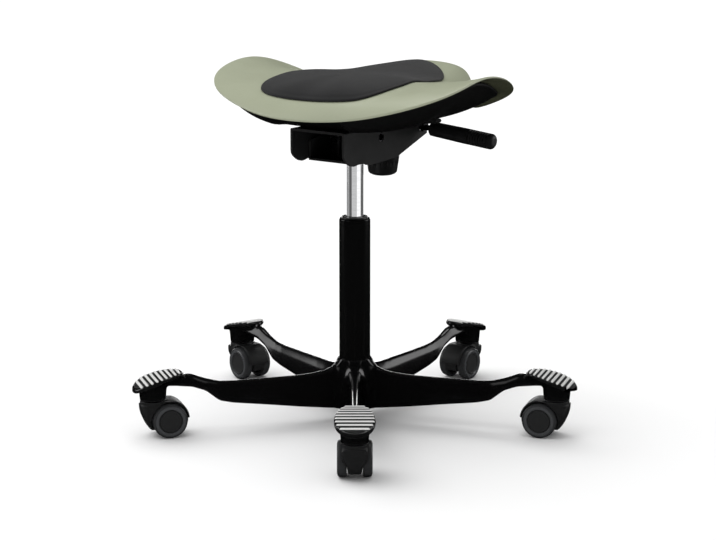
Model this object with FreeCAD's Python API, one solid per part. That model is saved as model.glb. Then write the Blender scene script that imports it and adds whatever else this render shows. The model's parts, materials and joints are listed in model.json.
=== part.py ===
import FreeCAD, Part
import math
import os

# Saddle stool. Millimetres. +Z is up, the floor is z = 0, the column's axis is the Z axis,
# the front of the seat points along -Y and the user's right hand is on the -X side.

os.makedirs("parts", exist_ok=True)
V = FreeCAD.Vector
Z_AXIS = V(0, 0, 1)

# ------------------------------------------------------------------ driving dimensions
# base
ARM_AZIMUTHS = [-90.0, -18.0, 54.0, 126.0, 198.0]
CASTOR_R = 335.0            # castor swivel axis from the column's axis
BOSS_R = 20.5               # castor boss at the end of an arm
BOSS_Z = 60.05              # underside of the boss
HUB_BOT = 22.0
HUB_TOP = 102.0
# arm: distance from the axis, underside, top, half width of the underside, half width of the top
ARM_SECTIONS = [
    (8.0, 21.0, 80.0, 19.0, 6.5),
    (42.0, 22.0, 79.5, 17.5, 6.2),
    (90.0, 27.8, 79.0, 15.5, 5.8),
    (150.0, 36.5, 79.0, 13.5, 5.4),
    (205.0, 44.0, 79.3, 12.0, 5.0),
    (228.0, 49.5, 81.0, 11.6, 5.0),
    (250.0, 67.5, 87.5, 11.4, 5.6),
    (272.0, 76.0, 96.6, 12.4, 7.5),
    (300.0, 80.0, 97.5, 14.0, 9.0),
    (330.0, 82.0, 92.5, 14.0, 9.0),
]
# foot rest: distance from the axis, height of the upper face
PAD_TOP = [(286.0, 102.3), (292.0, 102.0), (305.0, 100.9), (320.0, 98.2), (335.0, 94.2), (350.0, 88.6), (360.0, 83.6), (370.0, 77.4)]
# foot rest outline: distance from the axis, half width
PAD_OUTLINE = [(289.0, 9.0), (292.0, 15.0), (300.0, 21.5), (314.0, 27.4), (328.0, 30.2), (339.0, 30.6), (350.0, 28.3), (359.5, 21.8), (365.0, 12.5)]
PAD_TIP = 367.0
PAD_THICK = 7.0
RIB_PITCH = 7.6
RIB_WIDTH = 4.4
RIB_COUNT = 9
RIB_FIRST = 295.6
# castor
WHEEL_R = 27.75
DISC_R = 24.4
TRAIL = 23.0
WHEEL_IN = 11.7
WHEEL_OUT = 26.5
AXLE_R = 4.0
STEM_R = 5.5
HOOD_TOP = 59.15
FENDER_R = 32.4
FENDER_HALF = 19.5
# column
COLUMN_R = 25.0
COLUMN_BORE = 21.5
COLUMN_BOT = 26.0
COLUMN_TOP = 332.0
LIFT_R = 14.0
LIFT_BOT = 112.0
LIFT_TOP = 455.0
# mechanism
PIVOT_Z = 466.0
PIVOT_R = 7.0
CARRIER_HALF = 52.0
CARRIER_WALL = 4.0
CARRIER_TOP = 483.7
HOUSING_HALF = 46.0
HOUSING_FLOOR = 428.6
# carrier side plate outline: y, z
SIDE_PLATE = [(99.5, 483.7), (99.5, 449.0), (98.6, 444.5), (95.7, 440.2), (91.5, 436.7), (86.5, 433.2), (81.0, 430.4), (75.0, 429.0), (69.0, 429.2),
              (60.3, 430.9), (43.3, 429.3), (38.5, 426.9), (33.5, 426.0), (9.0, 426.4), (-9.7, 427.1), (-40.0, 429.0), (-46.5, 430.2), (-127.6, 457.6), (-127.6, 483.7)]
KNOB_Y = -77.0
KNOB_R = 27.2
KNOB_TOP = 427.0
KNOB_BOT = 390.0
LEVER_Y = -112.0
LEVER_Z = 470.2             # lever axis where it crosses the side plate
LEVER_DROOP = 5.6           # degrees
GRIP_R = 12.6
GRIP_START = -72.0
GRIP_END = -191.0
# seat: rim radius and rim height, and the height part of the way out, by angle from the front
SEAT_ANGLES = [0, 12, 25, 38, 50, 62, 75, 90, 105, 120, 140, 160, 180]
RIM_R = [234, 244, 222, 208, 244, 249, 240, 235, 238, 223, 188, 174, 172]
RIM_Z = [559, 550, 515, 499.5, 526, 552, 569, 571.5, 557.5, 538, 517, 508.5, 507.5]
MID_Z = [561, 558, 552, 547, 544.5, 547, 554, 559, 556, 551, 547.5, 547.5, 545]
MID_AT = 0.62
SEAT_Z0 = 553.0
ROLL_POWER = 8
SHELL_T = 5.0
PAD_ANGLES = [0, 8, 18, 28, 38, 50, 70, 90, 105, 118, 128, 138, 150, 165, 180]
PAD_R = [187, 181, 165, 145, 118, 104, 107, 114, 121, 130, 142, 152, 152, 146, 142]
PAD_CROWN = 8.5
# under shell: where its edge is as a share of the rim radius, and how its floor rises
UNDER_AT = [0.86, 0.86, 0.87, 0.89, 0.90, 0.905, 0.925, 0.94, 0.94, 0.94, 0.95, 0.95, 0.95]
UNDER_POWER = [2.6, 3.0, 4.2, 4.6, 3.5, 3.2, 3.3, 3.4, 4.0, 5.0, 7.0, 8.0, 8.0]
UNDER_Z = 484.0
RECESS_HALF = 60.0
RECESS_Y = 92.0
RECESS_SLOPE = 0.9
UNDER_WALL = 3.6
GAP = 0.3                   # between pieces that only rest on one another
FIT = 0.05                  # radial clearance of a running fit


# ------------------------------------------------------------------ helpers
def clamped_spline(xs, ys):
    """Cubic through the points with level ends."""
    n = len(xs)
    h = [xs[i + 1] - xs[i] for i in range(n - 1)]
    a = [0.0] * n
    b = [0.0] * n
    c = [0.0] * n
    d = [0.0] * n
    b[0], c[0], d[0] = 2 * h[0], h[0], 6 * (ys[1] - ys[0]) / h[0]
    for i in range(1, n - 1):
        a[i], b[i], c[i] = h[i - 1], 2 * (h[i - 1] + h[i]), h[i]
        d[i] = 6 * ((ys[i + 1] - ys[i]) / h[i] - (ys[i] - ys[i - 1]) / h[i - 1])
    a[-1], b[-1], d[-1] = h[-1], 2 * h[-1], -6 * (ys[-1] - ys[-2]) / h[-1]
    for i in range(1, n):
        w = a[i] / b[i - 1]
        b[i] -= w * c[i - 1]
        d[i] -= w * d[i - 1]
    m = [0.0] * n
    m[-1] = d[-1] / b[-1]
    for i in range(n - 2, -1, -1):
        m[i] = (d[i] - c[i] * m[i + 1]) / b[i]

    def value(x):
        x = min(max(x, xs[0]), xs[-1])
        i = 0
        while i < n - 2 and x > xs[i + 1]:
            i += 1
        t0, t1 = xs[i + 1] - x, x - xs[i]
        return ((m[i] * t0 ** 3 + m[i + 1] * t1 ** 3) / (6 * h[i])
                + (ys[i] / h[i] - m[i] * h[i] / 6) * t0 + (ys[i + 1] / h[i] - m[i + 1] * h[i] / 6) * t1)
    return value


def save(name, shape):
    if not shape.isValid():
        shape = shape.copy()
        shape.fix(1e-5, 1e-5, 1e-4)
    volume = shape.Volume
    try:
        tidy = shape.copy().removeSplitter()
        if tidy.isValid() and abs(tidy.Volume - volume) < 1e-3 * abs(volume) + 1:
            shape = tidy
    except Exception:
        pass
    if isinstance(shape, Part.Compound) and len(shape.Solids) == 1:
        shape = shape.Solids[0]
    if shape.Volume < 0:
        shape = shape.copy()
        shape.reverse()
    shape.exportStep("parts/" + name + ".step")
    b = shape.optimalBoundingBox(False)
    print("%-22s solids %d valid %s volume %.0f  x %.1f %.1f  y %.1f %.1f  z %.1f %.1f" % (
        name, len(shape.Solids), shape.isValid(), shape.Volume, b.XMin, b.XMax, b.YMin, b.YMax, b.ZMin, b.ZMax))


def cyl(r, z0, z1, x=0.0, y=0.0):
    return Part.makeCylinder(r, z1 - z0, V(x, y, z0), Z_AXIS)


def cone(r0, r1, z0, z1, x=0.0, y=0.0):
    return Part.makeCone(r0, r1, z1 - z0, V(x, y, z0), Z_AXIS)


def rod(r, p, q):
    d = q.sub(p)
    return Part.makeCylinder(r, d.Length, p, d)


def box(x0, x1, y0, y1, z0, z1):
    return Part.makeBox(x1 - x0, y1 - y0, z1 - z0, V(x0, y0, z0))


def turned(points):
    """Solid of revolution about Z from (radius, z) points."""
    w = Part.makePolygon([V(r, 0, z) for r, z in points] + [V(points[0][0], 0, points[0][1])])
    return Part.Face(w).revolve(V(0, 0, 0), Z_AXIS, 360)


def plate_x(points, x0, x1):
    """Prism along X from (y, z) points."""
    w = Part.makePolygon([V(x0, y, z) for y, z in points] + [V(x0, points[0][0], points[0][1])])
    return Part.Face(w).extrude(V(x1 - x0, 0, 0))


def plate_y(points, y0, y1):
    """Prism along Y from (x, z) points."""
    w = Part.makePolygon([V(x, y0, z) for x, z in points] + [V(points[0][0], y0, points[0][1])])
    return Part.Face(w).extrude(V(0, y1 - y0, 0))


def smooth_closed(points):
    c = Part.BSplineCurve()
    c.interpolate(points, PeriodicFlag=True)
    return Part.Wire([c.toShape()])


def placed(shape, azimuth, x=0.0):
    """Copy of a shape drawn along +X, moved out by x and turned to an azimuth."""
    s = shape.copy()
    s.translate(V(x, 0, 0))
    s.rotate(V(0, 0, 0), Z_AXIS, azimuth)
    return s


def try_fillet(shape, radius, pick):
    edges = [e for e in shape.Edges if pick(e)]
    if not edges:
        return shape
    try:
        out = shape.makeFillet(radius, edges)
        if out.isValid() and out.Volume > 0.5 * shape.Volume:
            return out
    except Exception:
        pass
    return shape


# ------------------------------------------------------------------ base
def arm_section(r, z0, z1, wb, wt):
    h = z1 - z0
    pts = [(-wb * 0.72, z0), (wb * 0.72, z0), (wb, z0 + 0.13 * h), (wb * 0.93, z0 + 0.45 * h), (wt + (wb - wt) * 0.30, z1 - 0.10 * h),
           (wt * 0.72, z1), (-wt * 0.72, z1), (-wt - (wb - wt) * 0.30, z1 - 0.10 * h), (-wb * 0.93, z0 + 0.45 * h), (-wb, z0 + 0.13 * h)]
    return Part.makePolygon([V(r, v, z) for v, z in pts] + [V(r, pts[0][0], pts[0][1])])


arm = Part.makeLoft([arm_section(*s) for s in ARM_SECTIONS], True, True)

pad_outline_pts = ([V(r, w, 0) for r, w in PAD_OUTLINE] + [V(PAD_TIP, 0, 0)] + [V(r, -w, 0) for r, w in reversed(PAD_OUTLINE)])
pad_prism = Part.Face(smooth_closed(pad_outline_pts)).extrude(V(0, 0, 60))
pad_prism.translate(V(0, 0, 60))


def scaled_outline(shift):
    """The foot rest's outline moved inwards by a border."""
    out = []
    cx = 330.0
    for p in pad_outline_pts:
        d = math.hypot(p.x - cx, p.y)
        k = (d - shift) / d
        out.append(V(cx + (p.x - cx) * k, p.y * k, 0))
    return out


inlay_prism = Part.Face(smooth_closed(scaled_outline(3.2))).extrude(V(0, 0, 60))
inlay_prism.translate(V(0, 0, 60))
pocket_prism = Part.Face(smooth_closed(scaled_outline(3.15))).extrude(V(0, 0, 60))
pocket_prism.translate(V(0, 0, 60))


def pad_slab(low, high):
    """Slab that follows the foot rest's upper face between two offsets from it."""
    top = Part.BSplineCurve()
    top.interpolate([V(r, -40, z + high) for r, z in PAD_TOP])
    bot = Part.BSplineCurve()
    bot.interpolate([V(r, -40, z + low) for r, z in PAD_TOP])
    a, b = PAD_TOP[0], PAD_TOP[-1]
    w = Part.Wire([top.toShape(), Part.makeLine(V(b[0], -40, b[1] + high), V(b[0], -40, b[1] + low)),
                   bot.toShape(), Part.makeLine(V(a[0], -40, a[1] + low), V(a[0], -40, a[1] + high))])
    return Part.Face(w).extrude(V(0, 80, 0))


pad_body = pad_slab(-PAD_THICK, 0.0).common(pad_prism)
boss = cone(BOSS_R, BOSS_R + 2.5, BOSS_Z, 90.0, CASTOR_R, 0.0)
under_pad = pad_slab(-40.0, -0.5 * PAD_THICK)
boss = boss.common(under_pad)
web = Part.makeLoft([arm_section(296.0, 79.5, 96.0, 14.0, 12.0), arm_section(318.0, 72.0, 92.0, 17.0, 16.0)], True, False)
arm_trim = arm.common(box(-10, 331, -60, 60, 0, 200))
over_pad = pad_slab(-0.5 * PAD_THICK, 30.0)
arm_trim = arm_trim.cut(over_pad)
web = web.cut(over_pad)
end = pad_body.fuse([boss, web])
one_arm = arm_trim.fuse(end)
one_arm = one_arm.cut(cyl(STEM_R + 0.02, BOSS_Z - 1, 84.0, CASTOR_R, 0.0))
one_arm = one_arm.cut(pad_slab(-3.0, 12.0).common(pocket_prism))

hub_profile = [(0.0, HUB_BOT), (30.0, HUB_BOT), (35.0, HUB_BOT + 4), (37.0, HUB_BOT + 14), (37.0, 60.0), (36.0, 72.0)]
fillet_r = 30.0
for k in range(9):
    a = math.radians(180 + 8 + k * (82.0 / 8))
    hub_profile.append((26.6 + 10.2 - 10.2 * (k / 8.0) ** 0.55, 74.0 + 28.0 * (k / 8.0) ** 1.25))
hub_profile += [(0.0, HUB_TOP)]
hub = turned(hub_profile)
base = hub.fuse([placed(one_arm, a) for a in ARM_AZIMUTHS])
base = base.cut(cyl(COLUMN_R + 0.02, COLUMN_BOT - 0.02, HUB_TOP + 5))
base = base.cut(cyl(17.0, HUB_BOT - 5, COLUMN_BOT + 1))
save("base_star", base)

# ribbed inlay of a foot rest
inlay = pad_slab(-2.95, -0.1).common(inlay_prism)


def pad_height(r):
    for (r0, z0), (r1, z1) in zip(PAD_TOP, PAD_TOP[1:]):
        if r <= r1:
            return z0 + (z1 - z0) * (r - r0) / (r1 - r0)
    return PAD_TOP[-1][1]


def pad_half_width(r, shift):
    """Half width of the foot rest's outline, moved inwards by a border."""
    rr = r + shift * (0.9 if r > 345 else (-0.9 if r < 312 else 0.0))
    pts = PAD_OUTLINE + [(PAD_TIP, 0.0)]
    for (r0, w0), (r1, w1) in zip(pts, pts[1:]):
        if rr <= r1:
            return w0 + (w1 - w0) * (rr - r0) / (r1 - r0) - shift * (0.35 if rr > 345 or rr < 312 else 1.0)
    return 0.0


ribs = []
for k in range(RIB_COUNT):
    r = RIB_FIRST + k * RIB_PITCH
    ra, rb = r - RIB_WIDTH / 2, r + RIB_WIDTH / 2
    w = min(pad_half_width(ra, 4.4), pad_half_width(rb, 4.4))
    if w < 4.0:
        continue
    za, zb = pad_height(ra), pad_height(rb)
    quad = [(ra, za - 1.2), (rb, zb - 1.2), (rb, zb + 1.5), (rb - 0.8, zb + 2.3), (ra + 0.8, za + 2.3), (ra, za + 1.5)]
    ribs.append(plate_y(quad, -w, w))
inlay = inlay.fuse(ribs)
save("foot_inlays", Part.makeCompound([placed(inlay, a) for a in ARM_AZIMUTHS]))

# ------------------------------------------------------------------ castors
# drawn with the swivel axis on Z and the wheels towards -X
stem = cyl(STEM_R, 38.0, 83.0).fuse(cyl(19.6, HOOD_TOP + 0.15, BOSS_Z - 0.05))
neck = cyl(BOSS_R, 44.0, HOOD_TOP)
front = Part.BSplineCurve()
front.interpolate([V(19.8, -20, 50.0), V(19.0, -20, 41.0), V(15.6, -20, 29.0), V(10.5, -20, 18.5), V(4.0, -20, 11.0)])
front_wire = Part.Wire([front.toShape(), Part.makePolygon([V(4.0, -20, 11.0), V(-6.0, -20, 11.0), V(-26.0, -20, 20.0), V(-26.0, -20, 50.0), V(19.8, -20, 50.0)])])
front_body = Part.Face(front_wire).extrude(V(0, 40, 0))
front_body = try_fillet(front_body, 4.0, lambda e: e.BoundBox.XMin > 3.9 and e.BoundBox.YLength < 1 and e.BoundBox.ZLength > 20)
fender = Part.makeCylinder(FENDER_R, 2 * FENDER_HALF, V(-TRAIL, -FENDER_HALF, WHEEL_R), V(0, 1, 0))
fender = fender.cut(Part.makeCylinder(28.75, 60.0, V(-TRAIL, -30.0, WHEEL_R), V(0, 1, 0)))
fender = fender.common(box(-70, 12, -30, 30, 30.0, HOOD_TOP))
back_web = Part.makeCylinder(FENDER_R - 1.0, 22.0, V(-TRAIL, -11.0, WHEEL_R), V(0, 1, 0)).common(box(-60, 6, -12, 12, 18.0, HOOD_TOP))
hood = neck.fuse([front_body, fender, back_web])
for side in (-1, 1):
    y0 = 11.0 if side > 0 else -40.0
    hood = hood.cut(Part.makeCylinder(28.75, 29.0, V(-TRAIL, y0, WHEEL_R), V(0, 1, 0)))
hood = hood.cut(cyl(STEM_R + FIT, 36.5, 70.0))
hood = hood.cut(Part.makeCylinder(AXLE_R + 0.02, 60.0, V(-TRAIL, -30, WHEEL_R), V(0, 1, 0)))
if len(hood.Solids) > 1:
    hood = sorted(hood.Solids, key=lambda s: -s.Volume)[0]
axle = Part.makeCylinder(AXLE_R, 46.0, V(-TRAIL, -23.0, WHEEL_R), V(0, 1, 0))


def ring_y(outer, inner, y0, y1):
    a = Part.makeCylinder(outer, y1 - y0, V(-TRAIL, y0, WHEEL_R), V(0, 1, 0))
    if inner > 0:
        a = a.cut(Part.makeCylinder(inner, y1 - y0 + 2, V(-TRAIL, y0 - 1, WHEEL_R), V(0, 1, 0)))
    return a


def wheel_disc():
    """Wheel disc on the +Y side: hub, dished web, rim and a stepped outer face."""
    prof = [(0.0, WHEEL_OUT - 1.6), (9.5, WHEEL_OUT - 1.6), (10.5, WHEEL_OUT - 1.0), (16.5, WHEEL_OUT - 0.8), (17.3, WHEEL_OUT - 2.0), (18.6, WHEEL_OUT - 2.0),
            (19.6, WHEEL_OUT - 0.4), (22.6, WHEEL_OUT), (DISC_R - 0.02, WHEEL_OUT - 0.8), (DISC_R - 0.02, WHEEL_IN + 0.8), (21.5, WHEEL_IN + 0.8),
            (21.5, WHEEL_IN + 8.0), (8.5, WHEEL_IN + 8.0), (8.5, WHEEL_IN), (0.0, WHEEL_IN)]
    w = Part.makePolygon([V(r, y, 0) for r, y in prof] + [V(prof[0][0], prof[0][1], 0)])
    s = Part.Face(w).revolve(V(0, 0, 0), V(0, 1, 0), 360)
    s.translate(V(-TRAIL, 0, WHEEL_R))
    return s.cut(Part.makeCylinder(AXLE_R + FIT, 12.0, V(-TRAIL, WHEEL_IN - 1, WHEEL_R), V(0, 1, 0)))


def tyre_ring():
    prof = [(DISC_R, WHEEL_IN + 0.4), (26.6, WHEEL_IN + 0.4), (WHEEL_R, WHEEL_IN + 1.6), (WHEEL_R, WHEEL_OUT - 3.4), (27.1, WHEEL_OUT - 1.9), (25.6, WHEEL_OUT - 0.8), (DISC_R, WHEEL_OUT - 0.7)]
    w = Part.makePolygon([V(r, y, 0) for r, y in prof] + [V(prof[0][0], prof[0][1], 0)])
    s = Part.Face(w).revolve(V(0, 0, 0), V(0, 1, 0), 360)
    s.translate(V(-TRAIL, 0, WHEEL_R))
    return s


disc_a = wheel_disc()
tyre_a = tyre_ring()
# the axle ends inside the discs' blind bores
axle = axle.common(box(-60, 60, -(WHEEL_IN + 10.6), WHEEL_IN + 10.6, 0, 60))
disc_b = disc_a.mirror(V(0, 0, 0), V(0, 1, 0))
tyre_b = tyre_a.mirror(V(0, 0, 0), V(0, 1, 0))
for n, a in enumerate(ARM_AZIMUTHS, 1):
    for part_name, shape in (("stem", stem), ("hood", hood), ("axle", axle), ("wheel_a", disc_a), ("wheel_b", disc_b), ("tyre_a", tyre_a), ("tyre_b", tyre_b)):
        save("castor_%d_%s" % (n, part_name), placed(shape, a, CASTOR_R))

# ------------------------------------------------------------------ column
tube = cyl(COLUMN_R, COLUMN_BOT, COLUMN_TOP).cut(cyl(COLUMN_BORE, COLUMN_BOT + 6.0, COLUMN_TOP + 1))
tube = tube.cut(cyl(5.0 + FIT + 0.6, COLUMN_BOT - 1, COLUMN_BOT + 8))
tube = try_fillet(tube, 2.4, lambda e: e.BoundBox.ZMin > COLUMN_TOP - 0.1 and e.BoundBox.XMax > COLUMN_R - 0.1)
save("column_tube", tube)
bush = turned([(LIFT_R + FIT, 262.0), (COLUMN_BORE - 0.02, 262.0), (COLUMN_BORE - 0.02, COLUMN_TOP + 0.02), (20.2, COLUMN_TOP + 2.4), (16.2, COLUMN_TOP + 2.8), (LIFT_R + FIT, COLUMN_TOP + 2.0)])
save("column_bush", bush)
bearing = turned([(5.0 + FIT, 32.02), (15.0, 32.02), (15.0, 34.4), (14.0, 34.4), (14.0, 35.4), (15.0, 35.4), (15.0, 38.0), (5.0 + FIT, 38.0)])
save("thrust_bearing", bearing)
piston = turned([(0.0, 20.0), (5.0, 20.0), (5.0, 245.0), (11.93, 246.0), (11.93, 256.0), (0.0, 256.0)])
piston = piston.cut(cyl(6.0, 22.6, 24.0).cut(cyl(4.0, 22.0, 25.0)))
# shoulder that rests on the thrust bearing
piston = piston.fuse(turned([(4.9, 38.3), (9.0, 38.3), (9.0, 40.8), (4.9, 40.8)]))
save("piston_rod", piston)
clip = cyl(9.0, 22.7, 23.9).cut(cyl(4.05, 22.0, 25.0))
clip = clip.cut(box(-2.4, 2.4, -10, 0, 22, 25))
save("rod_clip", clip)
lift = turned([(12.0, LIFT_BOT + 10), (5.0 + FIT, LIFT_BOT + 10), (5.0 + FIT, LIFT_BOT), (LIFT_R - 1.0, LIFT_BOT), (LIFT_R, LIFT_BOT + 1.0), (LIFT_R, 420.0), (LIFT_R - 0.9, LIFT_TOP - 0.8),
               (LIFT_R - 1.7, LIFT_TOP), (4.0 + FIT, LIFT_TOP), (4.0 + FIT, 440.0), (12.0, 440.0)])
save("lift_cylinder", lift)
button = turned([(0.0, 436.0), (5.2, 436.0), (5.2, 439.6), (4.0, 439.6), (4.0, 460.0), (2.6, 461.4), (0.0, 461.6)])
save("valve_button", button)

# ------------------------------------------------------------------ tilt housing
hx, ht = HOUSING_HALF, 4.0
wall_outline = [(60.0, HOUSING_FLOOR), (60.0, 458.0), (56.0, 462.0), (24.0, 466.0), (14.0, 475.5), (-14.0, 475.5), (-24.0, 466.0), (-96.0, 462.0), (-104.0, 457.0), (-104.0, 450.6), (-46.0, 431.0), (-38.0, HOUSING_FLOOR)]
walls = [plate_x(wall_outline, -hx, -hx + ht), plate_x(wall_outline, hx - ht, hx)]
floor = box(-hx, hx, -38.0, 60.0, HOUSING_FLOOR, HOUSING_FLOOR + 4.0)
front_wall = plate_x([(-37.0, HOUSING_FLOOR), (-38.0, HOUSING_FLOOR), (-46.0, 431.0), (-104.0, 450.6), (-104.0, 457.0), (-100.0, 457.0), (-100.0, 453.2), (-47.0, 435.2), (-37.0, 432.6)], -hx, hx)
socket = cyl(24.0, 422.0, 452.0)
gusset = box(-42.5, 42.5, -3.0, 3.0, HOUSING_FLOOR + 1, 450.0)
ears = [box(-12.0, -8.3, 18.0, 30.0, 430.0, 469.0), box(8.3, 12.0, 18.0, 30.0, 430.0, 469.0)]
pads = [Part.makeCylinder(12.0, 4.0, V(-hx + ht, 0, PIVOT_Z - 2.5), V(1, 0, 0)), Part.makeCylinder(12.0, 4.0, V(hx - ht - 4.0, 0, PIVOT_Z - 2.5), V(1, 0, 0))]
spring_seat = cyl(19.0, HOUSING_FLOOR - 0.6, 445.0, 0, KNOB_Y)
housing = floor.fuse(walls + [front_wall, socket, gusset, spring_seat] + ears)
housing = housing.fuse([Part.makeCylinder(11.5, 7.0, V(-hx, 0, PIVOT_Z - 2.0), V(1, 0, 0)), Part.makeCylinder(11.5, 7.0, V(hx - 7.0, 0, PIVOT_Z - 2.0), V(1, 0, 0))])
housing = housing.cut(cyl(LIFT_R + 0.02, 415.0, 420.0))
housing = housing.cut(turned([(0, 419.9), (LIFT_R + 0.02, 419.9), (LIFT_R - 0.88, LIFT_TOP - 0.8), (LIFT_R - 0.88, 456.0), (0, 456.0)]))
housing = housing.cut(cyl(5.0 + FIT, 420.0, 440.0, 0, KNOB_Y))
housing = housing.cut(cyl(15.6, 434.6, 460.0, 0, KNOB_Y))
housing = housing.cut(Part.makeCylinder(PIVOT_R + FIT, 120.0, V(-60, 0, PIVOT_Z), V(1, 0, 0)))
housing = housing.cut(Part.makeCylinder(2.5 + FIT, 40.0, V(-20, 24.0, 463.9), V(1, 0, 0)))
housing = try_fillet(housing, 2.0, lambda e: e.BoundBox.ZLength < 0.01 and abs(e.BoundBox.ZMin - HOUSING_FLOOR) < 0.01 and e.BoundBox.XLength < 0.01 and e.BoundBox.YLength > 60 and abs(e.BoundBox.XMin) > hx - 0.1)
save("tilt_housing", housing)

# rocker that presses the valve button, on its own cross pin
rocker = box(-7.9, 7.9, -6.0, 30.0, 462.4, 465.6).fuse(Part.makeCylinder(4.4, 15.8, V(-7.9, 24.0, 463.9), V(1, 0, 0)))
rocker = rocker.fuse(Part.makeCylinder(2.5, 24.0, V(-12.0, 24.0, 463.9), V(1, 0, 0)))
rocker = rocker.fuse(box(-4.0, 4.0, 28.0, 46.0, 463.0, 465.4))
save("valve_rocker", rocker)

# two stub pins on the tilt axis, each with a drive recess in its outer end
pin = Part.makeCylinder(PIVOT_R, 12.4, V(38.4, 0, PIVOT_Z), V(1, 0, 0))
pin = pin.cut(Part.makeCylinder(5.4, 6.0, V(46.5, 0, PIVOT_Z), V(1, 0, 0)))
pin = pin.fuse(Part.makeCylinder(9.5, 1.6, V(36.9, 0, PIVOT_Z), V(1, 0, 0)))
save("pivot_pins", Part.makeCompound([pin, pin.mirror(V(0, 0, 0), V(1, 0, 0))]))

# tension spring between the bolt's washer and the carrier
spring_r, wire_r, spring_lo, spring_hi = 11.0, 2.0, 437.4, 479.2
coils = 5.5
helix = Part.makeLongHelix((spring_hi - spring_lo - 2 * wire_r) / coils, spring_hi - spring_lo - 2 * wire_r, spring_r)
start = V(spring_r, 0, 0)
prof = Part.Wire([Part.makeCircle(wire_r, start, V(0, 1, 0.1))])
coil = Part.Wire(helix.Edges).makePipeShell([prof], True, True)
coil.translate(V(0, KNOB_Y, spring_lo + wire_r))
save("tension_spring", coil)

bolt = cyl(5.0, 396.0, 462.0, 0, KNOB_Y).fuse([cyl(14.0, 434.8, 437.0, 0, KNOB_Y), cyl(8.2, 437.0, 441.0, 0, KNOB_Y)])
bolt = try_fillet(bolt, 1.2, lambda e: e.BoundBox.ZMin > 461.9)
save("tension_bolt", bolt)

# fluted knob with a domed underside
knob = turned([(0.0, KNOB_BOT), (9.0, KNOB_BOT + 0.3), (16.0, KNOB_BOT + 1.6), (21.0, KNOB_BOT + 3.8), (23.4, KNOB_BOT + 6.6), (KNOB_R, KNOB_TOP - 5.0), (KNOB_R, KNOB_TOP - 1.0), (26.2, KNOB_TOP), (0.0, KNOB_TOP)])
flutes = []
for k in range(18):
    a = 2 * math.pi * k / 18
    flutes.append(Part.makeCone(1.6, 2.4, 26.0, V((KNOB_R - 0.4) * math.cos(a), (KNOB_R - 0.4) * math.sin(a), KNOB_BOT - 1.0), Z_AXIS))
knob = knob.cut(flutes)
knob.translate(V(0, KNOB_Y, 0))
knob = knob.cut(cyl(5.02, 395.98, KNOB_TOP + 1, 0, KNOB_Y))
save("tension_knob", knob)

# ------------------------------------------------------------------ seat carrier
ch, cw = CARRIER_HALF, CARRIER_WALL
carrier = box(-ch, ch, -127.6, 99.5, CARRIER_TOP - 4.0, CARRIER_TOP)
carrier = carrier.fuse([plate_x(SIDE_PLATE, -ch, -ch + cw), plate_x(SIDE_PLATE, ch - cw, ch)])
carrier = carrier.fuse(box(-ch, ch, -127.6, -123.6, 462.0, CARRIER_TOP))
carrier = carrier.cut(Part.makeCylinder(PIVOT_R + FIT, 120.0, V(-60, 0, PIVOT_Z), V(1, 0, 0)))
carrier = carrier.cut(Part.makeCylinder(7.4, 14.0, V(-60, LEVER_Y, LEVER_Z), V(1, 0, 0)))
carrier = carrier.cut(box(-60, -46, -99.3, -82.7, 472.2, 476.4))
for x0 in (-60.0, 46.0):
    carrier = carrier.cut(box(x0, x0 + 14.0, -3.4, 3.4, 466.0, 475.0)).cut(Part.makeCylinder(3.4, 14.0, V(x0, 0, 475.0), V(1, 0, 0)))
SCREWS = [(-34.0, -72.0), (34.0, -72.0), (-34.0, 62.0), (34.0, 62.0)]
for sx, sy in SCREWS:
    carrier = carrier.cut(cyl(3.2, 470.0, 490.0, sx, sy))
carrier = try_fillet(carrier, 2.5, lambda e: abs(e.BoundBox.ZMin - CARRIER_TOP) < 0.01 and e.BoundBox.YLength > 200 and e.BoundBox.XLength < 0.01)
save("seat_carrier", carrier)

# ------------------------------------------------------------------ levers
t = math.tan(math.radians(LEVER_DROOP))
out = V(-math.cos(math.radians(LEVER_DROOP)), 0, -math.sin(math.radians(LEVER_DROOP)))


def on_lever(x):
    return V(x, LEVER_Y, LEVER_Z + (x + 50.0) * t)


lever = rod(4.5, on_lever(-36.0), on_lever(-176.0))
lever = lever.fuse(rod(6.5, on_lever(-36.0), on_lever(-45.6)))
lever = lever.fuse(rod(8.0, on_lever(-54.4), on_lever(-60.0)))
save("height_lever", lever)
grip_len = on_lever(GRIP_START).sub(on_lever(GRIP_END)).Length
prof = [(0.0, 0.0), (GRIP_R - 2.4, 0.0), (GRIP_R - 1.0, 1.4), (GRIP_R - 0.8, 10.0), (GRIP_R, 60.0), (GRIP_R, grip_len - 45.0)]
p = grip_len - 45.0
for k in range(8):
    prof += [(GRIP_R, p), (GRIP_R - 1.3, p + 0.8), (GRIP_R - 1.3, p + 1.7), (GRIP_R, p + 2.5)]
    p += 4.8
prof += [(GRIP_R, grip_len - 7.0)]
for k in range(1, 8):
    a = math.radians(k * 90.0 / 8)
    prof.append((GRIP_R * 0.45 + GRIP_R * 0.55 * math.cos(a), grip_len - 7.0 + 7.0 * math.sin(a)))
prof += [(GRIP_R * 0.45, grip_len), (0.0, grip_len)]
clean = [prof[0]]
for q in prof[1:]:
    if abs(q[0] - clean[-1][0]) > 1e-6 or abs(q[1] - clean[-1][1]) > 1e-6:
        clean.append(q)
grip = turned(clean)
grip = grip.cut(cyl(4.52, -1.0, on_lever(GRIP_START).sub(on_lever(-176.0)).Length + 0.05))
grip.Placement = FreeCAD.Placement(on_lever(GRIP_START), FreeCAD.Rotation(Z_AXIS, out)).multiply(grip.Placement)
save("lever_grip", grip)

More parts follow.
